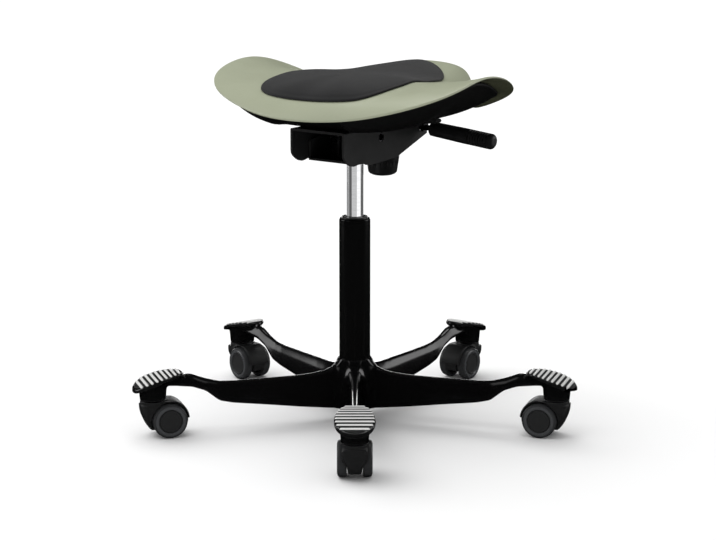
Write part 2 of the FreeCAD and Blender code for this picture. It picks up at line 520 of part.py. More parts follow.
# flat push-pull tab of the tilt lock, cranked upwards outside the side plate
tab_pts = [(-30.0, 472.6), (-30.0, 476.0), (-56.6, 476.0), (-61.0, 482.6), (-66.0, 485.6), (-92.0, 488.2), (-98.0, 487.4), (-99.5, 484.6), (-97.5, 481.8), (-66.0, 478.4), (-58.4, 472.6)]
tab = plate_y(tab_pts, -98.6, -83.4)
tab = tab.fuse(box(-34.0, -30.0, -98.6, -83.4, 468.6, 479.0))
tab = try_fillet(tab, 5.0, lambda e: e.BoundBox.XMax < -97.0 and e.BoundBox.YLength < 0.01 and e.BoundBox.XLength < 0.6 and e.BoundBox.ZLength > 1.0)
save("tilt_lock_tab", tab)

# ------------------------------------------------------------------ seat
rim_r = clamped_spline(SEAT_ANGLES, RIM_R)
rim_z = clamped_spline(SEAT_ANGLES, RIM_Z)
mid_z = clamped_spline(SEAT_ANGLES, MID_Z)
pad_r = clamped_spline(PAD_ANGLES, PAD_R)
under_at = clamped_spline(SEAT_ANGLES, UNDER_AT)
under_power = clamped_spline(SEAT_ANGLES, UNDER_POWER)


def polar(x, y):
    return math.hypot(x, y), math.degrees(math.atan2(abs(x), -y))


def ray_terms(th):
    a = mid_z(th) - SEAT_Z0
    b = rim_z(th) - SEAT_Z0
    pn = MID_AT ** ROLL_POWER
    ca = (a - b * pn) / (MID_AT ** 2 - pn)
    return ca, b - ca


def seat_along(th, rho):
    ca, cb = ray_terms(th)
    if rho <= 1.0:
        return SEAT_Z0 + ca * rho ** 2 + cb * rho ** ROLL_POWER
    return SEAT_Z0 + ca + cb + (2 * ca + ROLL_POWER * cb) * (rho - 1.0)


def seat_top(x, y):
    r, th = polar(x, y)
    return seat_along(th, r / rim_r(th))


def under_bottom(x, y):
    r, th = polar(x, y)
    ru = under_at(th)
    edge = seat_along(th, ru) - SHELL_T - GAP - 3.0
    s = r / rim_r(th) / ru
    m = under_power(th)
    rise = s ** m if s <= 1.0 else 1.0 + m * (s - 1.0)
    floor = UNDER_Z + (edge - UNDER_Z) * rise
    limit = seat_top(x, y) - SHELL_T - GAP - 3.0
    k = 2.2
    low = min(floor, limit)
    return low - k * math.log(math.exp(-(floor - low) / k) + math.exp(-(limit - low) / k))


def outline(radius, steps=72):
    pts = []
    for k in range(steps):
        phi = 2 * math.pi * k / steps
        th = math.degrees(math.acos(max(-1.0, min(1.0, math.cos(phi)))))
        r = radius(th)
        pts.append(V(r * math.sin(phi), -r * math.cos(phi), 0))
    return smooth_closed(pts)


def prism(radius, z0=380.0, z1=680.0):
    w = outline(radius)
    s = Part.Face(w).extrude(V(0, 0, z1 - z0))
    s.translate(V(0, 0, z0))
    return s


def field_face(f, half_x, y0, y1, step):
    nx = int(round(2 * half_x / step)) + 1
    ny = int(round((y1 - y0) / step)) + 1
    pts = []
    for i in range(nx):
        x = -half_x + 2 * half_x * i / (nx - 1)
        row = []
        for j in range(ny):
            y = y0 + (y1 - y0) * j / (ny - 1)
            row.append(V(x, y, f(x, y)))
        pts.append(row)
    s = Part.BSplineSurface()
    s.interpolate(pts)
    return s


def between(f_low, f_high, radius, half_x, y0, y1, step=12.0):
    """Solid between two height fields, inside an outline."""
    lo = field_face(f_low, half_x, y0, y1, step)
    hi = field_face(f_high, half_x, y0, y1, step)
    faces = [lo.toShape(), hi.toShape()]
    u0, u1, v0, v1 = lo.bounds()
    for iso_lo, iso_hi in ((lo.uIso(u0), hi.uIso(u0)), (lo.uIso(u1), hi.uIso(u1)), (lo.vIso(v0), hi.vIso(v0)), (lo.vIso(v1), hi.vIso(v1))):
        faces.append(Part.makeRuledSurface(iso_lo.toShape(), iso_hi.toShape()))
    sh = Part.makeShell(faces)
    sh.sewShape()
    solid = Part.Solid(sh)
    if solid.Volume < 0:
        solid.reverse()
    out = solid.common(prism(radius))
    if len(out.Solids) > 1:
        out = sorted(out.Solids, key=lambda q: -q.Volume)[0]
    elif len(out.Solids) == 1:
        out = out.Solids[0]
    return out


shell = between(lambda x, y: seat_top(x, y) - SHELL_T, seat_top, rim_r, 262.0, -262.0, 192.0)
save("seat_shell", shell)

pad = between(lambda x, y: seat_top(x, y) + GAP,
              lambda x, y: seat_top(x, y) + GAP + 2.0 + PAD_CROWN * max(-0.35, 1.0 - (polar(x, y)[0] / pad_r(polar(x, y)[1])) ** 4),
              pad_r, 136.0, -208.0, 164.0)
save("seat_pad", pad)


def under_r(th):
    return under_at(th) * rim_r(th)


under = between(under_bottom, lambda x, y: seat_top(x, y) - SHELL_T - GAP, under_r, 236.0, -240.0, 184.0)
hollow = between(lambda x, y: under_bottom(x, y) + UNDER_WALL, lambda x, y: seat_top(x, y) + 20.0,
                 lambda th: under_r(th) - 5.0, 236.0, -240.0, 184.0)
# recess behind the carrier channel, with its own walls
top_y = 190.0
recess_top = UNDER_Z + RECESS_SLOPE * (top_y - RECESS_Y)
recess = plate_x([(RECESS_Y, 470.0), (RECESS_Y, UNDER_Z), (top_y, recess_top), (top_y, 470.0)], -RECESS_HALF, RECESS_HALF)
recess_wall = plate_x([(RECESS_Y - 4.0, 470.0), (RECESS_Y - 4.0, UNDER_Z + 1.4), (RECESS_Y + 0.2, UNDER_Z + 5.0), (top_y, recess_top + 4.8), (top_y, 470.0)], -RECESS_HALF - UNDER_WALL, RECESS_HALF + UNDER_WALL)
under_shell = under.cut(hollow).fuse(under.common(recess_wall)).cut(recess)
bosses = []
for sx, sy in SCREWS:
    bosses.append(cyl(7.0, UNDER_Z + 0.6, 512.0, sx, sy))
under_shell = under_shell.fuse(bosses)
for sx, sy in SCREWS:
    under_shell = under_shell.cut(cyl(2.52, 470.0, 506.0, sx, sy))
if len(under_shell.Solids) > 1:
    under_shell = sorted(under_shell.Solids, key=lambda q: -q.Volume)[0]
save("under_shell", under_shell)

screws = []
for sx, sy in SCREWS:
    s = cyl(2.5, 479.0, 504.0, sx, sy).fuse(cyl(5.0, 476.4, 479.65, sx, sy))
    s = s.cut(Part.makeCylinder(2.2, 2.0, V(sx, sy, 476.0), Z_AXIS))
    screws.append(s)
save("seat_screws", Part.makeCompound(screws))
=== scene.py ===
import bpy
import json
import math
import numpy as np
from mathutils import Matrix, Vector


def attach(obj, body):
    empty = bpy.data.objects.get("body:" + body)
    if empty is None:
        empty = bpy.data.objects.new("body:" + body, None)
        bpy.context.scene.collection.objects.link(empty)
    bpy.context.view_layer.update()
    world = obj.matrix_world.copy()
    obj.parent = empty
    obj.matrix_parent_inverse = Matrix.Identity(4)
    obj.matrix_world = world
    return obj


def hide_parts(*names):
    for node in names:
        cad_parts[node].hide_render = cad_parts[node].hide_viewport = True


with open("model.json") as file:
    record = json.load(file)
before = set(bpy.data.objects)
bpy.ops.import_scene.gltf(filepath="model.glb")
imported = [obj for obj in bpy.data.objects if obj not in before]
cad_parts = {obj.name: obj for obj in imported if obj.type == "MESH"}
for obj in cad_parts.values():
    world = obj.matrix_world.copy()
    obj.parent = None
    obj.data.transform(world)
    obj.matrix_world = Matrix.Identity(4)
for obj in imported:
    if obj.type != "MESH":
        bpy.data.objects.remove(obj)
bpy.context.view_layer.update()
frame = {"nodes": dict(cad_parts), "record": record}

# Saddle stool. Lengths in the tables are millimetres; Blender works in metres.
# +Z is up, the front of the seat points along -Y, the user's right hand is on the -X side.
MM = 0.001
scene = bpy.context.scene
ARM_AZIMUTHS = [-90.0, -18.0, 54.0, 126.0, 198.0]
CASTOR_R = 335.0


# ------------------------------------------------------------------ mesh helpers
def mesh_piece(name, verts, faces, body, normals=None, smooth=True, scale=MM):
    me = bpy.data.meshes.new(name)
    v = np.asarray(verts, float) * scale
    me.from_pydata(v.tolist() if len(v) < 3000 else v, [], faces)
    me.update()
    if smooth:
        me.polygons.foreach_set("use_smooth", np.ones(len(me.polygons), bool))
    if normals is not None:
        me.normals_split_custom_set_from_vertices(np.asarray(normals, float).tolist())
    ob = bpy.data.objects.new(name, me)
    scene.collection.objects.link(ob)
    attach(ob, body)
    return ob


def smooth_corners(points, radii, steps=5, closed=False):
    """Polyline with each corner turned into an arc. radii is one number or one for each point."""
    pts = [np.array(p, float) for p in points]
    n = len(pts)
    if not hasattr(radii, "__len__"):
        radii = [radii] * n
    out = []
    for i in range(n):
        if not closed and i in (0, n - 1) or radii[i] <= 0:
            out.append(pts[i])
            continue
        a, b, c = pts[i - 1], pts[i], pts[(i + 1) % n]
        u, w = a - b, c - b
        lu, lw = np.linalg.norm(u), np.linalg.norm(w)
        u, w = u / lu, w / lw
        cosang = float(np.clip(u @ w, -1, 1))
        half = math.acos(cosang) / 2
        if half > math.pi / 2 - 0.02 or half < 0.02:
            out.append(b)
            continue
        d = min(radii[i] / math.tan(half), 0.48 * lu, 0.48 * lw)
        r = d * math.tan(half)
        centre = b + (u + w) / np.linalg.norm(u + w) * (r / math.sin(half))
        p0, p1 = b + u * d, b + w * d
        a0, a1 = p0 - centre, p1 - centre
        total = math.acos(float(np.clip((a0 @ a1) / (r * r + 1e-12), -1, 1)))
        for k in range(steps + 1):
            t = k / steps
            if total < 1e-6:
                q = p0 + (p1 - p0) * t
            else:
                q = centre + (math.sin((1 - t) * total) * a0 + math.sin(t * total) * a1) / math.sin(total)
            out.append(q)
    return np.array(out)


def lathe(profile, segments=96, closed=False):
    """Verts and faces of a (radius, height) profile turned about Z."""
    prof = np.array(profile, float)
    ang = np.linspace(0, 2 * math.pi, segments, endpoint=False)
    verts, rows = [], []
    for r, z in prof:
        if r < 1e-6:
            rows.append([len(verts)] * segments)
            verts.append((0, 0, z))
        else:
            rows.append(list(range(len(verts), len(verts) + segments)))
            verts += [(r * math.cos(a), r * math.sin(a), z) for a in ang]
    faces = []
    pairs = list(zip(rows, rows[1:])) + ([(rows[-1], rows[0])] if closed else [])
    for lo, hi in pairs:
        for k in range(segments):
            q = [lo[k], lo[(k + 1) % segments], hi[(k + 1) % segments], hi[k]]
            q = [x for i, x in enumerate(q) if x not in q[:i]]
            if len(q) > 2:
                faces.append(q)
    return np.array(verts, float), faces


def sharpen(ob, degrees=40.0):
    ob.data.set_sharp_from_angle(angle=math.radians(degrees))


def turn(verts, matrix):
    m = np.array(matrix, float)
    return np.asarray(verts, float) @ m[:3, :3].T + m[:3, 3]


def place_azimuth(azimuth, x=0.0):
    return Matrix.Rotation(math.radians(azimuth), 4, "Z") @ Matrix.Translation((x, 0, 0))


# ------------------------------------------------------------------ signed distances and their mesh
def smin(a, b, k):
    h = np.maximum(k - np.abs(a - b), 0.0) / k
    return np.minimum(a, b) - h * h * k * 0.25


def smax(a, b, k):
    return -smin(-a, -b, k)


def rmax(a, b, r):
    return np.minimum(np.maximum(a, b), -r) + np.hypot(np.maximum(a + r, 0.0), np.maximum(b + r, 0.0))


def nets(f, lo, hi, h, block=4):
    """Mesh of the surface where f changes sign (f is negative inside), with the normals of f."""
    lo = np.array(lo, float)
    n = np.ceil((np.array(hi, float) - lo) / (h * block)).astype(int)
    c = np.stack(np.meshgrid(*[np.arange(k) for k in n], indexing="ij"), -1).reshape(-1, 3)
    v = f(lo + (c + 0.5) * h * block)
    N = n * block + 1
    inside = np.zeros(tuple(N), bool)
    inside[:-1, :-1, :-1] = (v < 0).reshape(tuple(n)).repeat(block, 0).repeat(block, 1).repeat(block, 2)
    act = c[np.abs(v) < 0.866 * h * block * 1.7 + h] * block
    off = np.stack(np.meshgrid(*[np.arange(block + 1)] * 3, indexing="ij"), -1).reshape(-1, 3)
    flat = np.unique(np.ravel_multi_index((act[:, None, :] + off[None]).reshape(-1, 3).T, tuple(N)))
    vals = f(lo + np.stack(np.unravel_index(flat, tuple(N)), 1) * h)
    field = np.ones(int(N.prod()), np.float32)
    field[flat] = vals
    inside.ravel()[flat] = vals < 0
    off = np.stack(np.meshgrid(*[np.arange(block)] * 3, indexing="ij"), -1).reshape(-1, 3)
    cells = (act[:, None, :] + off[None]).reshape(-1, 3)
    ci = np.ravel_multi_index(cells.T, tuple(N))
    step = np.array([N[1] * N[2], N[2], 1])
    corner = np.array([(i, j, k) for i in (0, 1) for j in (0, 1) for k in (0, 1)])
    cv = field[ci[None, :] + (corner @ step)[:, None]]
    s = cv < 0
    mixed = s.any(0) & ~s.all(0)
    cells, ci, cv, s = cells[mixed], ci[mixed], cv[:, mixed], s[:, mixed]
    acc, cnt = np.zeros((len(ci), 3)), np.zeros(len(ci))
    for a in range(8):
        for b in range(a + 1, 8):
            if np.abs(corner[a] - corner[b]).sum() != 1:
                continue
            x = s[a] != s[b]
            t = np.where(x, cv[a] / np.where(x, cv[a] - cv[b], 1.0), 0.0)
            acc += np.where(x[:, None], corner[a] + t[:, None] * (corner[b] - corner[a]), 0.0)
            cnt += x
    pts = lo + (cells + acc / cnt[:, None]) * h
    vid = np.full(int(N.prod()), -1, np.int64)
    vid[ci] = np.arange(len(ci))
    faces = []
    for axis in range(3):
        u, w = (axis + 1) % 3, (axis + 2) % 3
        a = np.moveaxis(inside, axis, 0)
        at = np.argwhere(a[:-1] != a[1:])
        first = a[:-1][tuple(at.T)]
        idx = np.zeros_like(at)
        order = [axis] + [k for k in range(3) if k != axis]
        for col, ax in enumerate(order):
            idx[:, ax] = at[:, col]
        ok = (idx[:, u] > 0) & (idx[:, w] > 0)
        idx, first = idx[ok], first[ok]
        base = idx @ step
        q = np.stack([vid[base - step[u] - step[w]], vid[base - step[w]], vid[base], vid[base - step[u]]], 1)
        q = np.where(first[:, None], q, q[:, ::-1])
        faces.append(q[(q >= 0).all(1)])
    faces = np.concatenate(faces)
    e = 0.25 * h

    def grad(p):
        g = np.stack([f(p + d) - f(p - d) for d in np.eye(3) * e], 1) / (2 * e)
        return g, np.linalg.norm(g, axis=1)

    for _ in range(3):
        g, m = grad(pts)
        d = f(pts) / np.maximum(m, 0.3)
        pts = pts - g / np.maximum(m, 0.3)[:, None] * np.clip(d, -0.6 * h, 0.6 * h)[:, None]
    g, m = grad(pts)
    return pts, faces, g / np.maximum(m, 1e-6)[:, None]


class Table2:
    """Values on a grid, read between its points."""

    def __init__(self, x0, y0, d, values):
        self.x0, self.y0, self.d, self.v = x0, y0, d, values

    def __call__(self, x, y):
        nx, ny = self.v.shape
        fx, fy = (x - self.x0) / self.d, (y - self.y0) / self.d
        cx, cy = np.clip(fx, 0, nx - 1.001), np.clip(fy, 0, ny - 1.001)
        i, j = cx.astype(int), cy.astype(int)
        tx, ty = cx - i, cy - j
        v = self.v
        got = (v[i, j] * (1 - tx) * (1 - ty) + v[i + 1, j] * tx * (1 - ty) + v[i, j + 1] * (1 - tx) * ty + v[i + 1, j + 1] * tx * ty)
        return got + np.hypot(fx - cx, fy - cy) * self.d * 0.8


def polygon_distance(poly, x, y):
    """Signed distance to a closed polygon, negative inside."""
    p = np.array(poly, float)
    q = np.roll(p, -1, 0)
    best = np.full(x.shape, 1e9)
    ins = np.zeros(x.shape, bool)
    for (ax, ay), (bx, by) in zip(p, q):
        dx, dy = bx - ax, by - ay
        t = np.clip(((x - ax) * dx + (y - ay) * dy) / (dx * dx + dy * dy + 1e-12), 0, 1)
        best = np.minimum(best, np.hypot(x - ax - t * dx, y - ay - t * dy))
        if ay != by:
            ins ^= ((ay > y) != (by > y)) & (x < (bx - ax) * (y - ay) / (by - ay) + ax)
    return np.where(ins, -best, best)


def table_of(poly, x0, x1, y0, y1, d=0.5):
    gx, gy = np.meshgrid(np.arange(x0, x1 + d, d), np.arange(y0, y1 + d, d), indexing="ij")
    return Table2(x0, y0, d, polygon_distance(poly, gx, gy))


def closed_curve(points, steps=8):
    """Smooth closed line through the points."""
    p = np.array(points, float)
    n = len(p)
    out = []
    for i in range(n):
        p0, p1, p2, p3 = p[i - 1], p[i], p[(i + 1) % n], p[(i + 2) % n]
        t0 = 0.0
        t1 = t0 + max(np.linalg.norm(p1 - p0), 1e-6) ** 0.5
        t2 = t1 + max(np.linalg.norm(p2 - p1), 1e-6) ** 0.5
        t3 = t2 + max(np.linalg.norm(p3 - p2), 1e-6) ** 0.5
        for k in range(steps):
            t = t1 + (t2 - t1) * k / steps
            a1 = (t1 - t) / (t1 - t0) * p0 + (t - t0) / (t1 - t0) * p1
            a2 = (t2 - t) / (t2 - t1) * p1 + (t - t1) / (t2 - t1) * p2
            a3 = (t3 - t) / (t3 - t2) * p2 + (t - t2) / (t3 - t2) * p3
            b1 = (t2 - t) / (t2 - t0) * a1 + (t - t0) / (t2 - t0) * a2
            b2 = (t3 - t) / (t3 - t1) * a2 + (t - t1) / (t3 - t1) * a3
            out.append((t2 - t) / (t2 - t1) * b1 + (t - t1) / (t2 - t1) * b2)
    return np.array(out)


# ------------------------------------------------------------------ node helpers for materials
class Mat:
    def __init__(self, name, base, rough, metallic=0.0, specular=0.5, coat=0.0, coat_rough=0.1, sheen=0.0, sheen_rough=0.4, ior=None):
        self.m = bpy.data.materials.new(name)
        self.m.use_nodes = True
        self.nt = self.m.node_tree
        self.b = next(n for n in self.nt.nodes if n.type == "BSDF_PRINCIPLED")
        self.b.inputs["Base Color"].default_value = (*base, 1)
        self.b.inputs["Roughness"].default_value = rough
        self.b.inputs["Metallic"].default_value = metallic
        self.b.inputs["Specular IOR Level"].default_value = specular
        self.b.inputs["Coat Weight"].default_value = coat
        self.b.inputs["Coat Roughness"].default_value = coat_rough
        self.b.inputs["Sheen Weight"].default_value = sheen
        self.b.inputs["Sheen Roughness"].default_value = sheen_rough
        if ior:
            self.b.inputs["IOR"].default_value = ior
        tc = self.nt.nodes.new("ShaderNodeTexCoord")
        self.coord = tc.outputs["Object"]

    def node(self, kind, **kw):
        n = self.nt.nodes.new(kind)
        for k, v in kw.items():
            if k.startswith("in_"):
                n.inputs[k[3:].replace("_", " ")].default_value = v
            else:
                setattr(n, k, v)
        return n

    def link(self, a, b):
        self.nt.links.new(a, b)

    def noise(self, scale, detail=3.0, rough=0.55, stretch=None, distortion=0.0):
        n = self.node("ShaderNodeTexNoise")
        n.inputs["Scale"].default_value = scale
        n.inputs["Detail"].default_value = detail
        n.inputs["Roughness"].default_value = rough
        n.inputs["Distortion"].default_value = distortion
        if stretch:
            mp = self.node("ShaderNodeMapping")
            mp.inputs["Scale"].default_value = stretch
            self.link(self.coord, mp.inputs["Vector"])
            self.link(mp.outputs["Vector"], n.inputs["Vector"])
        else:
            self.link(self.coord, n.inputs["Vector"])
        return n.outputs["Fac"]

    def ramp(self, fac, stops):
        r = self.node("ShaderNodeValToRGB")
        r.color_ramp.elements[0].position, r.color_ramp.elements[1].position = stops[0][0], stops[-1][0]
        r.color_ramp.elements[0].color = (*stops[0][1], 1)
        r.color_ramp.elements[1].color = (*stops[-1][1], 1)
        for pos, col in stops[1:-1]:
            e = r.color_ramp.elements.new(pos)
            e.color = (*col, 1)
        self.link(fac, r.inputs["Fac"])
        return r.outputs["Color"]

    def remap(self, fac, a, b, lo, hi):
        r = self.node("ShaderNodeMapRange")
        r.inputs["From Min"].default_value, r.inputs["From Max"].default_value = a, b
        r.inputs["To Min"].default_value, r.inputs["To Max"].default_value = lo, hi
        self.link(fac, r.inputs["Value"])
        return r.outputs["Result"]

    def math(self, op, a, b=None, c=None):
        n = self.node("ShaderNodeMath", operation=op)
        for i, x in enumerate((a, b, c)):
            if x is None:
                continue
            if isinstance(x, (int, float)):
                n.inputs[i].default_value = x
            else:
                self.link(x, n.inputs[i])
        return n.outputs[0]

    def mix(self, fac, a, b):
        n = self.node("ShaderNodeMix", data_type="RGBA")
        self.link(fac, n.inputs["Factor"])
        for x, i in ((a, 6), (b, 7)):
            if isinstance(x, tuple):
                n.inputs[i].default_value = (*x, 1)
            else:
                self.link(x, n.inputs[i])
        return n.outputs[2]

    def colour(self, socket):
        self.link(socket, self.b.inputs["Base Color"])

    def roughness(self, socket):
        self.link(socket, self.b.inputs["Roughness"])

    def bump(self, height, strength, distance, chain=None):
        n = self.node("ShaderNodeBump")
        n.inputs["Strength"].default_value = strength
        n.inputs["Distance"].default_value = distance
        self.link(height, n.inputs["Height"])
        if chain is not None:
            self.link(chain, n.inputs["Normal"])
        self.link(n.outputs["Normal"], self.b.inputs["Normal"])
        return n.outputs["Normal"]


def edge_wear(mat, amount=1.0):
    """A value that is higher on outward edges, from the mesh's own pointiness."""
    g = mat.node("ShaderNodeNewGeometry")
    return mat.remap(g.outputs["Pointiness"], 0.50, 0.56, 0.0, amount)


def plain_lacquer(name, base, rough, spec, coat=0.0, grain=900.0, bump=0.05, wear=0.5):
    m = Mat(name, base, rough, specular=spec, coat=coat, coat_rough=0.12)
    n1 = m.noise(6.0, 4.0)
    n2 = m.noise(grain, 2.0)
    c = m.ramp(n1, [(0.3, tuple(x * 0.82 for x in base)), (0.7, tuple(x * 1.18 for x in base))])
    worn = m.mix(edge_wear(m, wear), c, tuple(min(1.0, x * 1.9 + 0.012) for x in base))
    m.colour(worn)
    m.roughness(m.remap(m.noise(22.0, 5.0), 0.25, 0.75, rough * 0.86, rough * 1.16))
    m.bump(n2, bump, 0.0004)
    return m.m


def moulded(name, base, rough, spec=0.5, grain=1400.0, bump=0.12, vary=0.07, sheen=0.0):
    m = Mat(name, base, rough, specular=spec, sheen=sheen)
    n1 = m.noise(9.0, 5.0, 0.6)
    c = m.ramp(n1, [(0.28, tuple(x * (1 - vary) for x in base)), (0.72, tuple(min(1.0, x * (1 + vary)) for x in base))])
    worn = m.mix(edge_wear(m, 0.35), c, tuple(min(1.0, x * 1.35 + 0.01) for x in base))
    m.colour(worn)
    m.roughness(m.remap(m.noise(40.0, 4.0), 0.2, 0.8, rough * 0.88, rough * 1.12))
    m.bump(m.noise(grain, 3.0, 0.6), bump, 0.0005)
    return m.m


def metal(name, base, rough, brushed=None, bump=0.03):
    m = Mat(name, base, rough, metallic=1.0)
    n1 = m.noise(60.0, 4.0, stretch=brushed or (1, 1, 1))
    m.colour(m.ramp(n1, [(0.3, tuple(x * 0.93 for x in base)), (0.7, tuple(min(1.0, x * 1.05) for x in base))]))
    m.roughness(m.remap(n1, 0.2, 0.8, rough * 0.8, rough * 1.25))
    m.bump(m.noise(500.0, 2.0, stretch=brushed or (1, 1, 1)), bump, 0.0002)
    return m.m


GREEN = (0.345, 0.368, 0.262)
MATS = {
    "base_black": plain_lacquer("gloss_black_lacquer", (0.0028, 0.0028, 0.003), 0.15, 0.5, coat=0.25, bump=0.02),
    "column_black": plain_lacquer("column_black_lacquer", (0.0007, 0.0007, 0.0008), 0.2, 0.42, bump=0.02, wear=0.2),
    "foot_grey": moulded("foot_rib_grey", (0.63, 0.63, 0.62), 0.34, vary=0.05, grain=900.0, bump=0.08),
    "foot_mat": moulded("foot_mat_black", (0.006, 0.006, 0.0063), 0.5, spec=0.3),
    "castor_black": moulded("castor_hood_plastic", (0.013, 0.0135, 0.0138), 0.46, spec=0.42, grain=1700.0, bump=0.2),
    "castor_disc": moulded("castor_disc_plastic", (0.021, 0.0215, 0.022), 0.5, spec=0.4, grain=1500.0, bump=0.15),
    # the disc's outer ring: glossier plastic, lighter grey than the disc, partly its own tone and partly painted
    # highlight for the bright ring
    "castor_ring": moulded("castor_ring_plastic", (0.058, 0.06, 0.063), 0.2, spec=0.6, grain=1500.0, bump=0.05),
    "castor_tyre": moulded("castor_tyre_rubber", (0.03, 0.031, 0.0325), 0.36, spec=0.45, grain=700.0, bump=0.16),
    "bush_black": moulded("bush_plastic", (0.008, 0.008, 0.008), 0.35),
    "chrome": metal("chrome_tube", (0.86, 0.865, 0.875), 0.07, brushed=(1, 1, 14), bump=0.01),
    "steel": metal("turned_steel", (0.52, 0.52, 0.53), 0.3, brushed=(1, 1, 9)),
    "dark_steel": metal("blackened_steel", (0.09, 0.09, 0.095), 0.42),
    "mech_black": plain_lacquer("satin_black_powder", (0.0062, 0.0063, 0.0065), 0.5, 0.2, grain=1500.0, bump=0.22, wear=0.35),
    "knob_black": moulded("knob_plastic", (0.005, 0.005, 0.0053), 0.4, spec=0.45),
    "under_black": moulded("under_shell_plastic", (0.005, 0.005, 0.005), 0.62, spec=0.22, grain=1100.0, bump=0.22),
}


def seat_material():
    m = Mat("sage_moulded_plastic", GREEN, 0.42, specular=0.6)
    big = m.noise(5.0, 5.0, 0.6)
    c = m.ramp(big, [(0.3, (0.334, 0.357, 0.252)), (0.7, (0.354, 0.378, 0.270))])
    fine = m.noise(260.0, 3.0, 0.5)
    c2 = m.mix(m.remap(fine, 0.35, 0.75, 0.0, 0.16), c, (0.300, 0.322, 0.222))
    worn = m.mix(edge_wear(m, 0.2), c2, (0.40, 0.42, 0.31))
    m.colour(worn)
    m.roughness(m.remap(m.noise(34.0, 5.0), 0.25, 0.75, 0.36, 0.48))
    first = m.bump(m.noise(1900.0, 3.0, 0.55), 0.10, 0.0004)
    m.bump(m.noise(95.0, 2.0, 0.5), 0.05, 0.0006, chain=first)
    return m.m


def pad_material():
    m = Mat("charcoal_weave", (0.0125, 0.0125, 0.013), 0.86, specular=0.08, sheen=0.12, sheen_rough=0.45)
    sep = m.node("ShaderNodeSeparateXYZ")
    m.link(m.coord, sep.inputs[0])
    warp = m.noise(55.0, 2.0)
    wob = m.remap(warp, 0.2, 0.8, -0.00025, 0.00025)
    k = 2 * math.pi / 0.0016
    x = m.math("ADD", sep.outputs[0], wob)
    y = m.math("ADD", sep.outputs[1], wob)
    sx = m.math("SINE", m.math("MULTIPLY", x, k))
    sy = m.math("SINE", m.math("MULTIPLY", y, k))
    over = m.math("MULTIPLY", sx, sy)
    weave = m.remap(over, -1.0, 1.0, 0.0, 1.0)
    thread = m.noise(900.0, 3.0)
    tone = m.mix(weave, (0.0105, 0.0105, 0.011), (0.0185, 0.0185, 0.019))
    big = m.noise(14.0, 4.0)
    m.colour(m.mix(m.remap(big, 0.3, 0.7, 0.0, 0.35), tone, (0.0205, 0.0205, 0.021)))
    m.roughness(m.remap(thread, 0.2, 0.8, 0.74, 0.92))
    first = m.bump(weave, 0.35, 0.0004)
    m.bump(thread, 0.25, 0.0003, chain=first)
    return m.m


MATS["seat_green"] = seat_material()
MATS["pad_charcoal"] = pad_material()
# painted shade: the shell's underside in dark olive, the green plastic darkened because it faces down into shadow
MATS["painted_shade_underside"] = moulded("painted_shade_olive_plastic", (0.044, 0.047, 0.024), 0.45, spec=0.35, grain=1200.0, bump=0.15)
MATS["pad_seam"] = moulded("pad_seam_thread", (0.010, 0.010, 0.0105), 0.75, spec=0.2)


def paint(ob, *names):
    ob.data.materials.clear()
    for n in names:
        ob.data.materials.append(MATS[n])


slot_of = {s["node"]: s["material_slot"] for s in frame["record"]["subparts"]}
for node, ob in frame["nodes"].items():
    paint(ob, slot_of[node])

for node, width in (("seat_carrier", 0.7), ("tilt_housing", 0.6), ("tilt_lock_tab", 0.8), ("height_lever", 0.5), ("tension_bolt", 0.4)):
    bev = frame["nodes"][node].modifiers.new("edge", "BEVEL")
    bev.width, bev.segments, bev.limit_method, bev.angle_limit = width * MM, 2, "ANGLE", math.radians(40)
    bev.harden_normals = False

# ------------------------------------------------------------------ base star
# distance from the axis, underside, top, half width of the underside, half width of the top
ARM = [
    (0.0, 21.0, 102.0, 20.0, 12.0), (26.0, 21.5, 98.5, 19.0, 11.0), (30.0, 21.7, 93.2, 18.6, 9.8), (38.0, 22.0, 87.6, 18.0, 8.4), (45.0, 22.4, 84.9, 17.5, 7.6),
    (52.0, 23.2, 83.2, 17.0, 7.0), (64.0, 24.8, 81.3, 16.5, 6.5), (75.0, 26.0, 80.2, 16.0, 6.1), (95.0, 28.5, 79.2, 15.3, 5.8), (150.0, 36.5, 79.0, 13.5, 5.4),
    (205.0, 44.0, 79.3, 12.0, 5.0), (228.0, 49.5, 81.0, 11.6, 5.0), (250.0, 67.5, 87.5, 11.4, 5.6), (272.0, 76.0, 96.6, 12.4, 7.5), (300.0, 80.0, 97.5, 14.0, 9.0), (330.0, 82.0, 92.5, 14.0, 9.0)]
PAD_TOP = [(286.0, 102.3), (292.0, 102.0), (305.0, 100.9), (320.0, 98.2), (335.0, 94.2), (350.0, 88.6), (360.0, 83.6), (370.0, 77.4)]
PAD_OUTLINE = [(289.0, 9.0), (292.0, 15.0), (300.0, 21.5), (314.0, 27.4), (328.0, 30.2), (339.0, 30.6), (350.0, 28.3), (359.5, 21.8), (365.0, 12.5)]
PAD_THICK = 7.0
AT = np.arange(0.0, 340.0, 0.5)


def along(table, col, sigma=3.0):
    r = [row[0] for row in table]
    v = np.interp(AT, r, [row[col] for row in table])
    k = np.arange(-12, 13) * 0.5
    w = np.exp(-(k / sigma) ** 2 / 2)
    w /= w.sum()
    return np.convolve(np.pad(v, 12, mode="edge"), w, mode="valid")


Z0, Z1, WB, WT = (along(ARM, c) for c in (1, 2, 3, 4))
HH = Z1 - Z0
CORNERS = [(0.72 * WT, Z1), (WT + 0.30 * (WB - WT), Z1 - 0.10 * HH), (0.93 * WB, Z0 + 0.45 * HH), (WB, Z0 + 0.13 * HH), (0.72 * WB, Z0)]
PLANES = []
for (va, za), (vb, zb) in zip(CORNERS, CORNERS[1:]):
    dv, dz = vb - va, zb - za
    L = np.hypot(dv, dz)
    PLANES.append((-dz / L, dv / L, (-dz * va + dv * za) / L))


